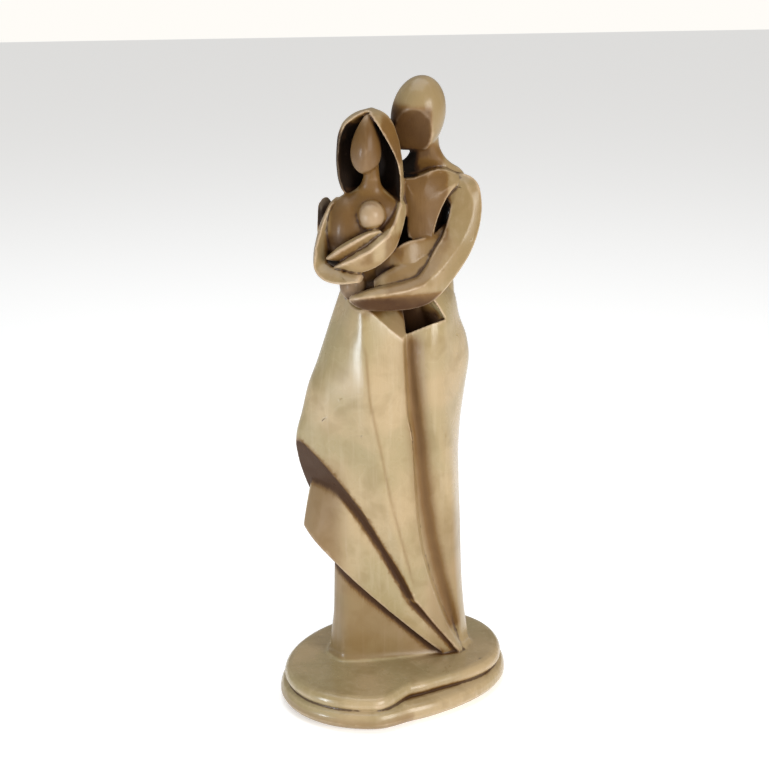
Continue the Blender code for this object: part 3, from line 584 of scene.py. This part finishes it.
def make_her_arms():
    right = limb(
        "her right arm",
        [(-25.1, -2, 245.4, 1.2, 2.5, 0), (-27.6, -3, 242.1, 2, 4, 0.6), (-29, -4, 238.3, 2.6, 4.6, 0.75),
         (-30.1, -5, 234.8, 3.1, 5, 0.75), (-31.6, -6.5, 230.5, 3.1, 5, 0.7),
         (-32.8, -9, 225.9, 3.1, 5, 0.7), (-33.4, -12, 221.5, 3.3, 5, 0.7),
         (-33, -15.5, 216.9, 3.4, 5, 0.7), (-29.8, -19, 214.2, 3.7, 5, 0.75),
         (-24.8, -22.5, 213, 3.2, 4.6, 0.75), (-20, -25, 212.9, 2.4, 4.2, 0.6),
         (-15, -26.5, 213, 1.7, 3.4, 0.3)],
        crisp=0.85,
        back=1.5,
    )
    left = limb(
        "her left arm",
        [(1.9, -3, 247.4, 1.5, 2.5, 0), (1.9, -4, 244.3, 3, 3.8, -0.2), (1.4, -6, 240.8, 4.3, 5, -0.25),
         (0.1, -9.5, 235.4, 4.5, 5.6, -0.05), (-2.3, -14, 229.7, 5, 6, 0.2),
         (-4.5, -17.5, 226.8, 5.4, 6, 0.45), (-9.5, -21, 222.5, 5.2, 5.6, 0.7),
         (-15.5, -23.5, 220, 4.7, 5, 0.8), (-20.2, -24, 219.1, 3.1, 4, 0.7),
         (-23.6, -22.5, 218.3, 1.7, 3, 0.5), (-26.4, -20, 217.5, 0.6, 1.5, 0)],
        crisp=0.9,
        back=1.5,
    )
    hand = limb(
        "her left hand",
        [(-6.3, -15, 231.8, 1.8, 3, 0.6), (-10.2, -17, 230.4, 3, 4, 0.75),
         (-14.4, -19, 228.1, 3.7, 4.6, 0.8), (-19.3, -20.5, 225.5, 3.9, 4.8, 0.8),
         (-23.9, -20.5, 223.3, 3.3, 4.4, 0.75), (-27.5, -19, 221.6, 2.1, 3.4, 0.6),
         (-30.1, -17, 220.7, 0.8, 2, 0)],
        crisp=0.85,
    )
    return [right, left, hand]


couple += make_her_torso() + make_her_arms()

# Her head: a smooth pointed face inside deeply hollowed hair, which is open at the front and has a
# narrow rim round the opening. Cast in one with her shoulders and the side of his head.
def make_her_head():
    face = egg("her face", (-12.4, -8.6, 270.8), (8.1, 7.6, 13.4), (0, 4, 0), -0.5)
    for vertex in face.data.vertices:
        across = min(abs(vertex.co.x + 12.5) / 7.3, 1)
        if vertex.co.y < -9.5:
            vertex.co.y -= 1.2 * (1 - across) * (1 - ((vertex.co.z - 271.6) / 13) ** 2)
    hair = carved(
        "her hair", 241, 286.0,
        [
            [(241, 3, -6), (250, 3, -11), (254.4, 2.9, -12.3), (261.3, 1.9, -13.5), (266.6, 0.1, -15),
             (270.7, -1.9, -16), (275.6, -4.7, -16), (279.3, -7.1, -15), (282.7, -9.4, -13),
             (284.9, -10.9, -9.5), (286.0, -11, -4)],
            [(241, 4.2, -2), (255, 4.4, -5), (261, 4, -6), (266, 3.2, -6), (271, 2.4, -6), (276, 0.8, -6),
             (280, -0.7, -6), (283.5, -3.4, -5), (285.2, -6.2, -4), (286.0, -9.4, -3)],
            [(241, 2, 5), (260, 2, 6), (275, -1, 6), (282.3, -5, 4), (286.0, -9.4, 1)],
            [(241, -10, 10), (260, -10, 13), (275, -10, 12.5), (282, -10, 8), (286.0, -10, 2)],
            [(241, -19, 8), (260, -21, 8), (275, -20, 8), (282.3, -16, 4), (286.0, -11, 1)],
            [(241, -19, 1), (246, -21.5, 0), (250, -24.1, -1), (256, -25.6, -1), (263, -26.1, -1),
             (272, -25.6, -1), (278.8, -23.6, -2), (281.4, -21.6, -2.5), (283.5, -19, -3), (285, -16, -3),
             (286.0, -11.5, -2)],
            [(241, -17, -4), (246, -20, -5), (250, -23.2, -6), (256, -24.9, -6.5), (263, -25.3, -7),
             (272, -24.6, -7.5), (278.8, -22.3, -8.5), (281.4, -20, -9.3), (283.5, -17.2, -9.3),
             (284.8, -14.5, -9), (285.6, -12.3, -8), (286.0, -11.2, -4)],
            [(241, -14, -2), (246, -17, -2), (250, -20.5, -2), (263, -22.7, -2), (272, -22.2, -2),
             (279, -19.2, -4), (282, -16.2, -6.3), (284, -14, -7.6), (285.5, -12.2, -7.2),
             (286.0, -11.1, -3.8)],
            [(241, -10, 0), (250, -9.5, 4), (263, -9.5, 6), (272, -9.5, 5), (279, -10, 1),
             (282, -10.5, -3), (284, -11, -6.5), (285.5, -11.5, -7.4), (286.0, -11.1, -3.7)],
            [(241, -4, -2), (250, 0.4, -2), (256, 1.0, -3), (263, 0, -3), (270, -1.8, -4), (276, -4.6, -6),
             (280, -7, -8), (282.5, -9.3, -8.6), (284.5, -10.9, -8), (286.0, -11, -3.8)],
        ],
        [0.1, 0.8, 1, 1, 1, 0.8, 0.1, 0.8, 1, 0.8],
        levels=200,
    )
    return [face, hair]


couple += make_her_head()

# The casting: all forms stood on the base, melted into one skin of resin, eased by its thick varnish
# and turned with its front to -Y, as its CAD solid stands.
FRONT_TURN_DEG = -12
MELT_FINENESS = 0.0005
SKIN_TRIANGLES = 115000
LONGEST_EDGES = (0.004, 0.003, 0.0023)

share = (FIGURINE_HEIGHT - BASE_THICKNESS) / (PATTERN_TOP - PATTERN_FOOT)
stand = Matrix.Translation((0, 0, BASE_THICKNESS)) @ Matrix.Scale(share, 4)
stand = stand @ Matrix.Translation((-PATTERN_MIDDLE[0], -PATTERN_MIDDLE[1], -PATTERN_FOOT))
for form in couple:
    form.data.transform(stand)
bpy.ops.object.select_all(action="DESELECT")
for form in base + couple:
    form.select_set(True)
bpy.context.view_layer.objects.active = base[0]
bpy.ops.object.join()
figurine = bpy.context.active_object
figurine.name = "couple"
melt = figurine.modifiers.new("Melt", "REMESH")
melt.mode = "VOXEL"
melt.voxel_size = MELT_FINENESS
bpy.ops.object.modifier_apply(modifier=melt.name)
ease = figurine.modifiers.new("Ease", "SMOOTH")
ease.factor = 0.5
ease.iterations = 4
bpy.ops.object.modifier_apply(modifier=ease.name)
lighten = figurine.modifiers.new("Lighten", "DECIMATE")
figurine.data.calc_loop_triangles()
lighten.ratio = SKIN_TRIANGLES / len(figurine.data.loop_triangles)
bpy.ops.object.modifier_apply(modifier=lighten.name)
trim(figurine, (0, 0, 0), (0, 0, -1))
# Long triangles are split, so that the painted shade and wash further down get an even edge on the flat
# parts too.
mesh = bmesh.new()
mesh.from_mesh(figurine.data)
for longest in LONGEST_EDGES:
    upright = [e for e in mesh.edges if sum(v.co.z for v in e.verts) > 0.001]
    long_edges = [e for e in upright if e.calc_length() > longest]
    bmesh.ops.subdivide_edges(mesh, edges=long_edges, cuts=1)
    bmesh.ops.triangulate(mesh, faces=mesh.faces)
# Faces that the thinning laid one over the other on the same three points are dropped, and the skin
# is closed again where one of them was needed.
mesh.verts.index_update()
twins = {}
for face in mesh.faces:
    twins.setdefault(tuple(sorted(v.index for v in face.verts)), []).append(face)
doubled = [face for faces in twins.values() if len(faces) > 1 for face in faces]
bmesh.ops.delete(mesh, geom=doubled, context="FACES")
bmesh.ops.holes_fill(mesh, edges=[e for e in mesh.edges if e.is_boundary], sides=3)
mesh.to_mesh(figurine.data)
mesh.free()

turn = Matrix.Rotation(math.radians(FRONT_TURN_DEG), 4, "Z")
figurine.data.transform(turn)
points = np.array([v.co for v in figurine.data.vertices])
low, high = points.min(axis=0), points.max(axis=0)
middle = (cad_low + cad_high) / 2
fit = min((cad_high[i] - cad_low[i]) / (high[i] - low[i]) for i in range(3))
into_box = (
    Matrix.Translation((middle.x, middle.y, cad_low.z))
    @ Matrix.Scale(min(fit, 1), 4)
    @ Matrix.Translation((-(low[0] + high[0]) / 2, -(low[1] + high[1]) / 2, -low[2]))
)
figurine.data.transform(into_box)
place = into_box @ turn @ stand
bpy.ops.object.shade_smooth()
figurine.name = "couple"
figurine.data.name = "couple"
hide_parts("couple_figurine")
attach(figurine, "root")

# The antique wash and painted shade: dark brown, partly a stain wiped off the open surfaces that stayed in
# the recesses, partly painted shade in the recesses, under the hems and inside the hair. How enclosed each
# point is and how it is curved is measured here and kept as attributes of the skin.
data = figurine.data
count = len(data.vertices)
points = np.array([v.co for v in data.vertices])
normals = np.array([v.normal for v in data.vertices])
edges = np.array([e.vertices for e in data.edges])
degree = np.bincount(edges.ravel(), minlength=count).astype(float)


def spread(values, times):
    """Values at the points, each averaged with its neighbours' a number of times."""
    flat = values.reshape(count, -1).astype(float)
    for _ in range(times):
        total = np.zeros_like(flat)
        for c in range(flat.shape[1]):
            total[:, c] = np.bincount(edges[:, 0], flat[edges[:, 1], c], count)
            total[:, c] += np.bincount(edges[:, 1], flat[edges[:, 0], c], count)
        flat = 0.5 * flat + 0.5 * total / degree[:, None]
    return flat.reshape(values.shape)


def smoothstep(values, a, b):
    t = np.clip((values - a) / (b - a), 0, 1)
    return t * t * (3 - 2 * t)


skin = BVHTree.FromPolygons([tuple(p) for p in points], [tuple(p.vertices) for p in data.polygons])
golden = math.pi * (3 - math.sqrt(5))
rays = 20
reach = 0.022
clear = 0.0002
open_share = np.zeros(count)
for n in range(count):
    normal = Vector(normals[n])
    side = normal.orthogonal().normalized()
    other = normal.cross(side)
    start = Vector(points[n]) + normal * clear
    total = 0.0
    for k in range(rays):
        h = math.sqrt((k + 0.5) / rays)
        up = math.sqrt(max(0.0, 1 - h * h))
        a = golden * k + n
        way = side * (h * math.cos(a)) + other * (h * math.sin(a)) + normal * up
        hit = skin.ray_cast(start, way, reach)
        total += 1.0 if hit[0] is None else (hit[3] / reach) ** 0.8
    open_share[n] = total / rays
recess = spread(1 - open_share, 8)
lap = spread(points, 2) - points
lengths = np.linalg.norm(points[edges[:, 0]] - points[edges[:, 1]], axis=1) * 1000
span = (np.bincount(edges[:, 0], lengths, count) + np.bincount(edges[:, 1], lengths, count)) / degree
curve = (lap * normals).sum(axis=1) * 1000 / np.maximum(span / 0.7, 1) ** 2

# Where painted shade and the wash are laid on, in the pattern's millimetres: 1 is a full brown, 2 is
# black.
home = place.inverted()
turn_home = np.array(home.to_3x3())
P = points @ turn_home.T + np.array(home.translation)
N = unit(normals @ turn_home.T)
x, y, z = P.T


def oval(centre, reach, edge=0.3):
    """1 inside an oval region, fading to 0 across its edge."""
    away = np.linalg.norm((P - np.array(centre)) / np.array(reach), axis=1)
    return 1 - smoothstep(away, 1 - edge, 1 + edge)


def facing(way, least, full):
    return smoothstep(N @ unit(np.array(way, float)), least, full)


def between(values, low, high, edge=1.0):
    ended = smoothstep(values, high - edge, high + edge)
    return smoothstep(values, low - edge, low + edge) * (1 - ended)


def below_cut(point, way, depth):
    """1 on the flat cut through a point, and on what lies behind it down to a depth."""
    away = (P - np.array(point)) @ unit(np.array(way, float))
    on_face = smoothstep(away, -0.6, -0.2) * facing(way, 0.75, 0.95)
    behind = smoothstep(away, -0.4, -0.1)
    return np.maximum(on_face, behind) * (1 - smoothstep(away, depth, 1.6 * depth + 0.2))


def line_down(values, heights, positions, wide):
    """1 on a line running down the piece, fading out to its sides."""
    return np.exp(-(((values - np.interp(z, heights, positions)) / wide) ** 2))


his_head = oval(HIS_HEAD_AT, (13.4, 14.6, 19.4), 0.02)
inward = np.stack([-11 - x, -1 - y, 0 * z], axis=1)
inside_hair = smoothstep((unit(inward) * N).sum(axis=1), 0.05, 0.35) * between(z, 243, 284.5)
inside_hair *= between(x, -25, 3.5) * (y < 8) * (np.hypot((x + 11) / 14.5, (y + 1) / 12) < 1.15)
inside_hair *= 1 - his_head
her_face = oval((-12.4, -9, 270.8), (8.8, 9, 14.2), 0.06) * facing((0, -1, 0), -0.1, 0.2)
upper_half = between(z, 203, 330, 12)
highlit_arm = between(x, -10, 7) * between(z, 220, 247) * (y < -3)
above_arm = z > np.interp(x, [-4, 2, 13.5, 20, 24.5], [201, 203.5, 209, 216, 223])
groove = line_down(
    x, [20, 42, 59, 78, 100, 131, 171, 182], [33, 27.6, 23.4, 19.2, 15.6, 12.2, 8.6, 8.6], 4.2
)
ridge = line_down(x, [46, 105, 128, 155, 188], [13, -1.2, -5.5, -11, -13.7], 0.7)
painted_shade_and_wash = [
    # painted shade on the hems' cut faces and painted shadow under them; the underskirt and the outer side
    # of her dress lower down darker
    1.05 * below_cut(HEM_1_AT, HEM_1_FACING, 1.4) * between(z, 50, 137),
    1.05 * below_cut(HEM_1_LOW_AT, HEM_1_LOW_FACING, 1.2) * between(z, 19, 49, 1) * (x < 30),
    1.1 * below_cut(HEM_2_AT, HEM_2_FACING, 2.6) * (y < 3) * between(z, 18.5, 96, 0.6),
    0.3 * smoothstep((P - np.array(HEM_2_AT)) @ np.array(HEM_2_FACING), 0, 0.6) * (z > 18) * (y < 0),
    0.38 * between(x, -50, -25, 6) * between(z, 60, 118, 10) * (y < 0),
    # painted shade in the groove beside the dress and along the dress's ridge; the foot of his leg darker
    0.64 * groove * between(z, 30, 183, 3) * (y < 0),
    0.25 * ridge * between(z, 60, 178, 6) * (y < -12),
    0.2 * between(x, 17, 34, 4) * between(z, 20, 95, 12) * (y < 6),
    # the upper half a little darker all over, less on her arm as a painted highlight where it catches the
    # light
    0.2 * upper_half * (1 - highlit_arm),
    # painted shade, with the wash, on his face and neck; painted shade under his jaw and on the side of
    # his head towards hers, and black painted shadow in the pit under his chin
    0.85 * between(x, -3, 17, 1.2) * between(z, 258, 286.5, 2.5) * his_head
    * facing((-0.2, -1, -0.3), 0.5, 0.8),
    0.9 * his_head * facing((-1, -0.5, -0.3), 0.35, 0.8) * between(z, 256, 287, 3),
    0.9 * oval((10, 6, 264.5), (10, 12, 4.5)) * facing((0, -0.3, -1), 0.5, 0.9),
    0.58 * oval((14, 8, 262), (10, 9, 9)),
    1.9 * between(x, 1, 10.8) * between(z, 245, 266.8) * between(y, 0.5, 15)
    * facing((-0.5, -1, 0.2), -0.2, 0.3),
    # her face and neck darker, and painted shade with the wash, near black, inside the hair, on its rim
    # and in the crevice beside his head
    0.7 * her_face,
    0.6 * oval((-10.4, -6.5, 254), (7, 7, 9)),
    1.7 * inside_hair * (1 - her_face),
    1.5 * between(x, -29, -20, 0.7) * between(z, 249, 276, 4) * between(y, -12, 1)
    * facing((0.3, -1, 0), -0.5, -0.1),
    0.6 * between(x, -6, 4) * between(z, 262, 287, 2) * between(y, -18, 4)
    * facing((0.5, -1, 0), 0.2, 0.8) * (1 - his_head),
    # his chest and the folds under it darker; painted shade, near black, on his right hand in the gap
    # behind her arm, and painted shade under his forearm
    0.65 * between(z, 226, 258, 3) * between(x, 3, 25) * (y < 4) * facing((0, -1, 0.2), 0.3, 0.8),
    0.36 * between(x, -4, 26) * between(z, 203, 232) * (y < 4) * above_arm,
    1.6 * between(x, -38, -27.5) * between(y, 0, 9) * between(z, 231, 247)
    * facing((0.2, -1, 0), -0.1, 0.3),
    between(x, -23, 22) * between(z, 194, 205.5) * (y < -12) * facing((0, -0.75, -0.65), 0.45, 0.9),
    # her chest and breasts darker; painted shade on her side behind her arm, in the hollow of her waist,
    # under and behind her hands, inside her right elbow and on the left-facing side of her right arm
    0.68 * between(z, 225, 250, 3) * between(x, -29, 1) * (y > -16.4) * facing((-0.2, -1, 0.2), 0.2, 0.7),
    0.35 * oval(LEFT_BREAST_AT, (7, 7.4, 7.6), 0.05),
    0.8 * between(x, -8, 4.5) * between(z, 203, 231) * between(y, -14, 6)
    * facing((0.8, -0.6, 0), 0.2, 0.7),
    0.8 * oval((-20, -14, 206), (8, 8, 4.5)) * facing((-0.3, -1, 0), 0.2, 0.6),
    0.45 * between(x, -31, -9) * between(z, 219, 231) * between(y, -27, -14)
    * facing((-0.2, -0.7, -0.7), 0.35, 0.8),
    0.5 * between(x, -31, -25) * between(z, 217, 230) * between(y, -16, 0),
    0.9 * between(x, -31, -16) * between(z, 221, 230.5) * between(y, -16.5, -9),
    0.36 * between(x, -38, -26) * between(z, 212, 246, 2) * facing((-1, -0.4, 0), 0.1, 0.8),
    # painted shadow in the recess under his forearm and a little on the cut top of the dress beside it,
    # painted shade with the wash in the base's creases, and the base's lower tier darker except at the
    # couple's left end
    1.15 * between(x, 1.5, 21, 1.5) * between(z, 180, 203) * between(y, -12.5, 8, 0.6)
    * smoothstep(recess, 0.2, 0.35),
    0.15 * between(x, -21, 6) * between(z, 183, 203) * between(y, -24, -4)
    * facing((0.4, -0.5, 0.7), 0.8, 0.95),
    0.9 * between(z, -5, 17.8, 0.4) * smoothstep(recess, 0.18, 0.4),
    0.3 * between(z, -2, 7, 1.5) * (x < 10),
]
wash_and_shade = np.clip(np.max(painted_shade_and_wash, axis=0), 0, 2)
for name, values in (("recess", recess), ("curve", spread(curve, 2)), ("wash_and_shade", spread(wash_and_shade, 1))):
    attribute = data.attributes.new(name, "FLOAT", "POINT")
    attribute.data.foreach_set("value", values.astype(np.float32))

# The resin: ochre and olive under a clear varnish, with the dark wash and painted shade in the recesses,
# rubbed pale and painted with highlights along the ridges, brushed in long vertical streaks and lightly
# pitted.
resin = bpy.data.materials.new("varnished_resin")
resin.use_nodes = True
tree = resin.node_tree
shader = tree.nodes["Principled BSDF"]


class Field:
    """A varying value of the material: the output of a node, which can be reckoned with."""

    def __init__(self, socket):
        self.socket = socket

    @staticmethod
    def of(kind, settings=None, **inputs):
        node = tree.nodes.new(kind)
        for key, value in (settings or {}).items():
            setattr(node, key, value)
        for key, value in inputs.items():
            Field.put(node.inputs[key.replace("_", " ")], value)
        return node

    @staticmethod
    def put(socket, value):
        if isinstance(value, Field):
            tree.links.new(value.socket, socket)
        else:
            socket.default_value = value

    @staticmethod
    def maths(operation, a, b):
        node = tree.nodes.new("ShaderNodeMath")
        node.operation = operation
        Field.put(node.inputs[0], a)
        Field.put(node.inputs[1], b)
        return Field(node.outputs[0])

    def __add__(self, other):
        return Field.maths("ADD", self, other)

    __radd__ = __add__

    def __sub__(self, other):
        return Field.maths("SUBTRACT", self, other)

    def __rsub__(self, other):
        return Field.maths("SUBTRACT", other, self)

    def __mul__(self, other):
        return Field.maths("MULTIPLY", self, other)

    __rmul__ = __mul__

    def ramp(self, a, b, smooth=True):
        """0 below a, 1 above b."""
        node = tree.nodes.new("ShaderNodeMapRange")
        node.interpolation_type = "SMOOTHSTEP" if smooth else "LINEAR"
        Field.put(node.inputs[0], self)
        Field.put(node.inputs[1], a)
        Field.put(node.inputs[2], b)
        return Field(node.outputs[0])

    def mix(self, a, b):
        """Colour a where this is 0, b where it is 1."""
        node = tree.nodes.new("ShaderNodeMix")
        node.data_type = "RGBA"
        Field.put(node.inputs["Factor"], self)
        for name, value in (("A", a), ("B", b)):
            socket = next(s for s in node.inputs if s.name == name and s.type == "RGBA")
            Field.put(socket, value if isinstance(value, Field) else (*value, 1.0))
        return Field(next(s for s in node.outputs if s.type == "RGBA"))


where = Field(Field.of("ShaderNodeTexCoord").outputs["Object"])


def noise(scale, detail=3.0, stretch=(1, 1, 1), distortion=0.0):
    mapped = Field(Field.of("ShaderNodeMapping", Vector=where, Scale=stretch).outputs[0])
    node = Field.of(
        "ShaderNodeTexNoise", Vector=mapped, Scale=scale, Detail=detail, Distortion=distortion
    )
    return Field(node.outputs["Fac"])


def measured(name):
    return Field(Field.of("ShaderNodeAttribute", {"attribute_name": name}).outputs["Fac"])


recess_field = measured("recess")
curve_field = measured("curve")
wash_and_shade_field = measured("wash_and_shade")
patches = noise(22, 4, distortion=0.6)
mottle = noise(90, 5, distortion=0.4)
streaks = noise(60, 4, (6, 6, 0.35))
fine_streaks = noise(140, 3, (9, 9, 0.25))
grain = noise(900, 3)

tan = patches.ramp(0.38, 0.62).mix((0.33, 0.255, 0.13), (0.41, 0.30, 0.165))
tan = (mottle.ramp(0.45, 0.72) * 0.45).mix(tan, (0.24, 0.165, 0.065))
tan = (streaks.ramp(0.5, 0.75) * 0.3).mix(tan, (0.46, 0.36, 0.23))
ragged = (mottle - 0.5) * 0.8 + (streaks - 0.5) * 0.15
# Painted shade and the wash: darker the more enclosed the point is.
settled_wash_and_shade = (recess_field + ragged * 0.12).ramp(0.17, 0.55)
settled_wash_and_shade = settled_wash_and_shade + (recess_field + ragged * 0.15).ramp(0.45, 0.75)
wash_and_shade_depth = Field.maths("MAXIMUM", settled_wash_and_shade, wash_and_shade_field + ragged * 0.3 * wash_and_shade_field.ramp(0.15, 0.6))
brown = wash_and_shade_depth.ramp(0, 0.5, False).mix(tan, (0.17, 0.088, 0.024))
brown = wash_and_shade_depth.ramp(0.5, 1, False).mix(brown, (0.055, 0.022, 0.006))
brown = wash_and_shade_depth.ramp(1, 1.8, False).mix(brown, (0.006, 0.0035, 0.002))
# Dark lines in the concave creases: the wash, and painted shade.
line = curve_field.ramp(0.010, 0.045)
brown = (line * 0.85).mix(brown, (0.055, 0.024, 0.01))
# Pale along the convex ridges: rubbed wear, and painted highlights.
rubbed_and_highlit = (0.0 - curve_field).ramp(0.012, 0.05) * (1 - wash_and_shade_depth.ramp(0.2, 1.2) * 0.7)
surface = (rubbed_and_highlit * 0.5).mix(brown, (0.58, 0.43, 0.29))
Field.put(shader.inputs["Base Color"], surface)
Field.put(shader.inputs["Roughness"], 0.28 + wash_and_shade_depth * 0.3 + (mottle - 0.5) * 0.2)
Field.put(shader.inputs["Coat Weight"], (0.5 - wash_and_shade_depth * 0.5).ramp(0, 1, False))
shader.inputs["Coat Roughness"].default_value = 0.2
shader.inputs["Coat IOR"].default_value = 1.5
shader.inputs["IOR"].default_value = 1.45
shader.inputs["Specular IOR Level"].default_value = 0.22
relief = fine_streaks * 0.5 + mottle * 0.6 + grain * 0.12
bump = Field.of("ShaderNodeBump", Strength=0.35, Distance=0.0006, Height=relief)
Field.put(shader.inputs["Normal"], Field(bump.outputs[0]))
data.materials.clear()
data.materials.append(resin)

# The studio: a pale floor, a broad warm light from the front right and above, and a cool window light from
# the left.
bpy.ops.mesh.primitive_plane_add(size=8, location=(0, 0, 0))
floor = bpy.context.active_object
floor.name = "floor"
paper = bpy.data.materials.new("paper")
paper.use_nodes = True
paper_shader = paper.node_tree.nodes["Principled BSDF"]
paper_shader.inputs["Base Color"].default_value = (0.9, 0.9, 0.9, 1)
paper_shader.inputs["Roughness"].default_value = 0.9
paper_shader.inputs["Emission Color"].default_value = (1, 1, 1, 1)
paper_shader.inputs["Emission Strength"].default_value = 0.45
floor.data.materials.append(paper)
floor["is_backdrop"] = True

world = bpy.data.worlds.new("studio")
bpy.context.scene.world = world
world.use_nodes = True
backdrop = world.node_tree.nodes["Background"]
backdrop.inputs[0].default_value = (1, 0.975, 0.93, 1)
sight = world.node_tree.nodes.new("ShaderNodeLightPath")
dim = world.node_tree.nodes.new("ShaderNodeMapRange")
dim.inputs["To Min"].default_value = 0.3
dim.inputs["To Max"].default_value = 1.0
world.node_tree.links.new(sight.outputs["Is Camera Ray"], dim.inputs["Value"])
world.node_tree.links.new(dim.outputs[0], backdrop.inputs[1])


def lamp(name, at, aim, size, power, colour):
    light = bpy.data.lights.new(name, "AREA")
    light.shape = "RECTANGLE"
    light.size, light.size_y = size
    light.energy = power
    light.color = colour
    made = bpy.data.objects.new(name, light)
    bpy.context.scene.collection.objects.link(made)
    made.location = at
    made.rotation_euler = (Vector(aim) - Vector(at)).to_track_quat("-Z", "Y").to_euler()


lamp("key", (0.55, -0.95, 0.45), (0, 0, 0.16), (0.6, 0.6), 10.5, (1, 0.97, 0.92))
lamp("window", (-0.84, -0.4, 0.12), (0, 0, 0.16), (0.16, 0.3), 4.5, (0.8, 0.9, 1))
lamp("skylight", (-0.1, 0.1, 1.2), (0, 0, 0.2), (1.0, 1.0), 7, (0.9, 0.95, 1))

# The camera stands where the photo was taken from: about 0.7 m away, to the couple's right of straight
# ahead, looking 17 degrees down.
camera = bpy.data.objects.new("camera", bpy.data.cameras.new("camera"))
bpy.context.scene.collection.objects.link(camera)
camera.location = place @ Vector((-4.3, -700, 372))
camera.rotation_euler = (math.radians(90 - 17.18), 0, math.radians(FRONT_TURN_DEG))
camera.data.sensor_width = 36
camera.data.lens = 72.2
camera.data.clip_start = 0.01
bpy.context.scene.camera = camera
bpy.context.scene.view_settings.view_transform = "Standard"

low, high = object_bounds()
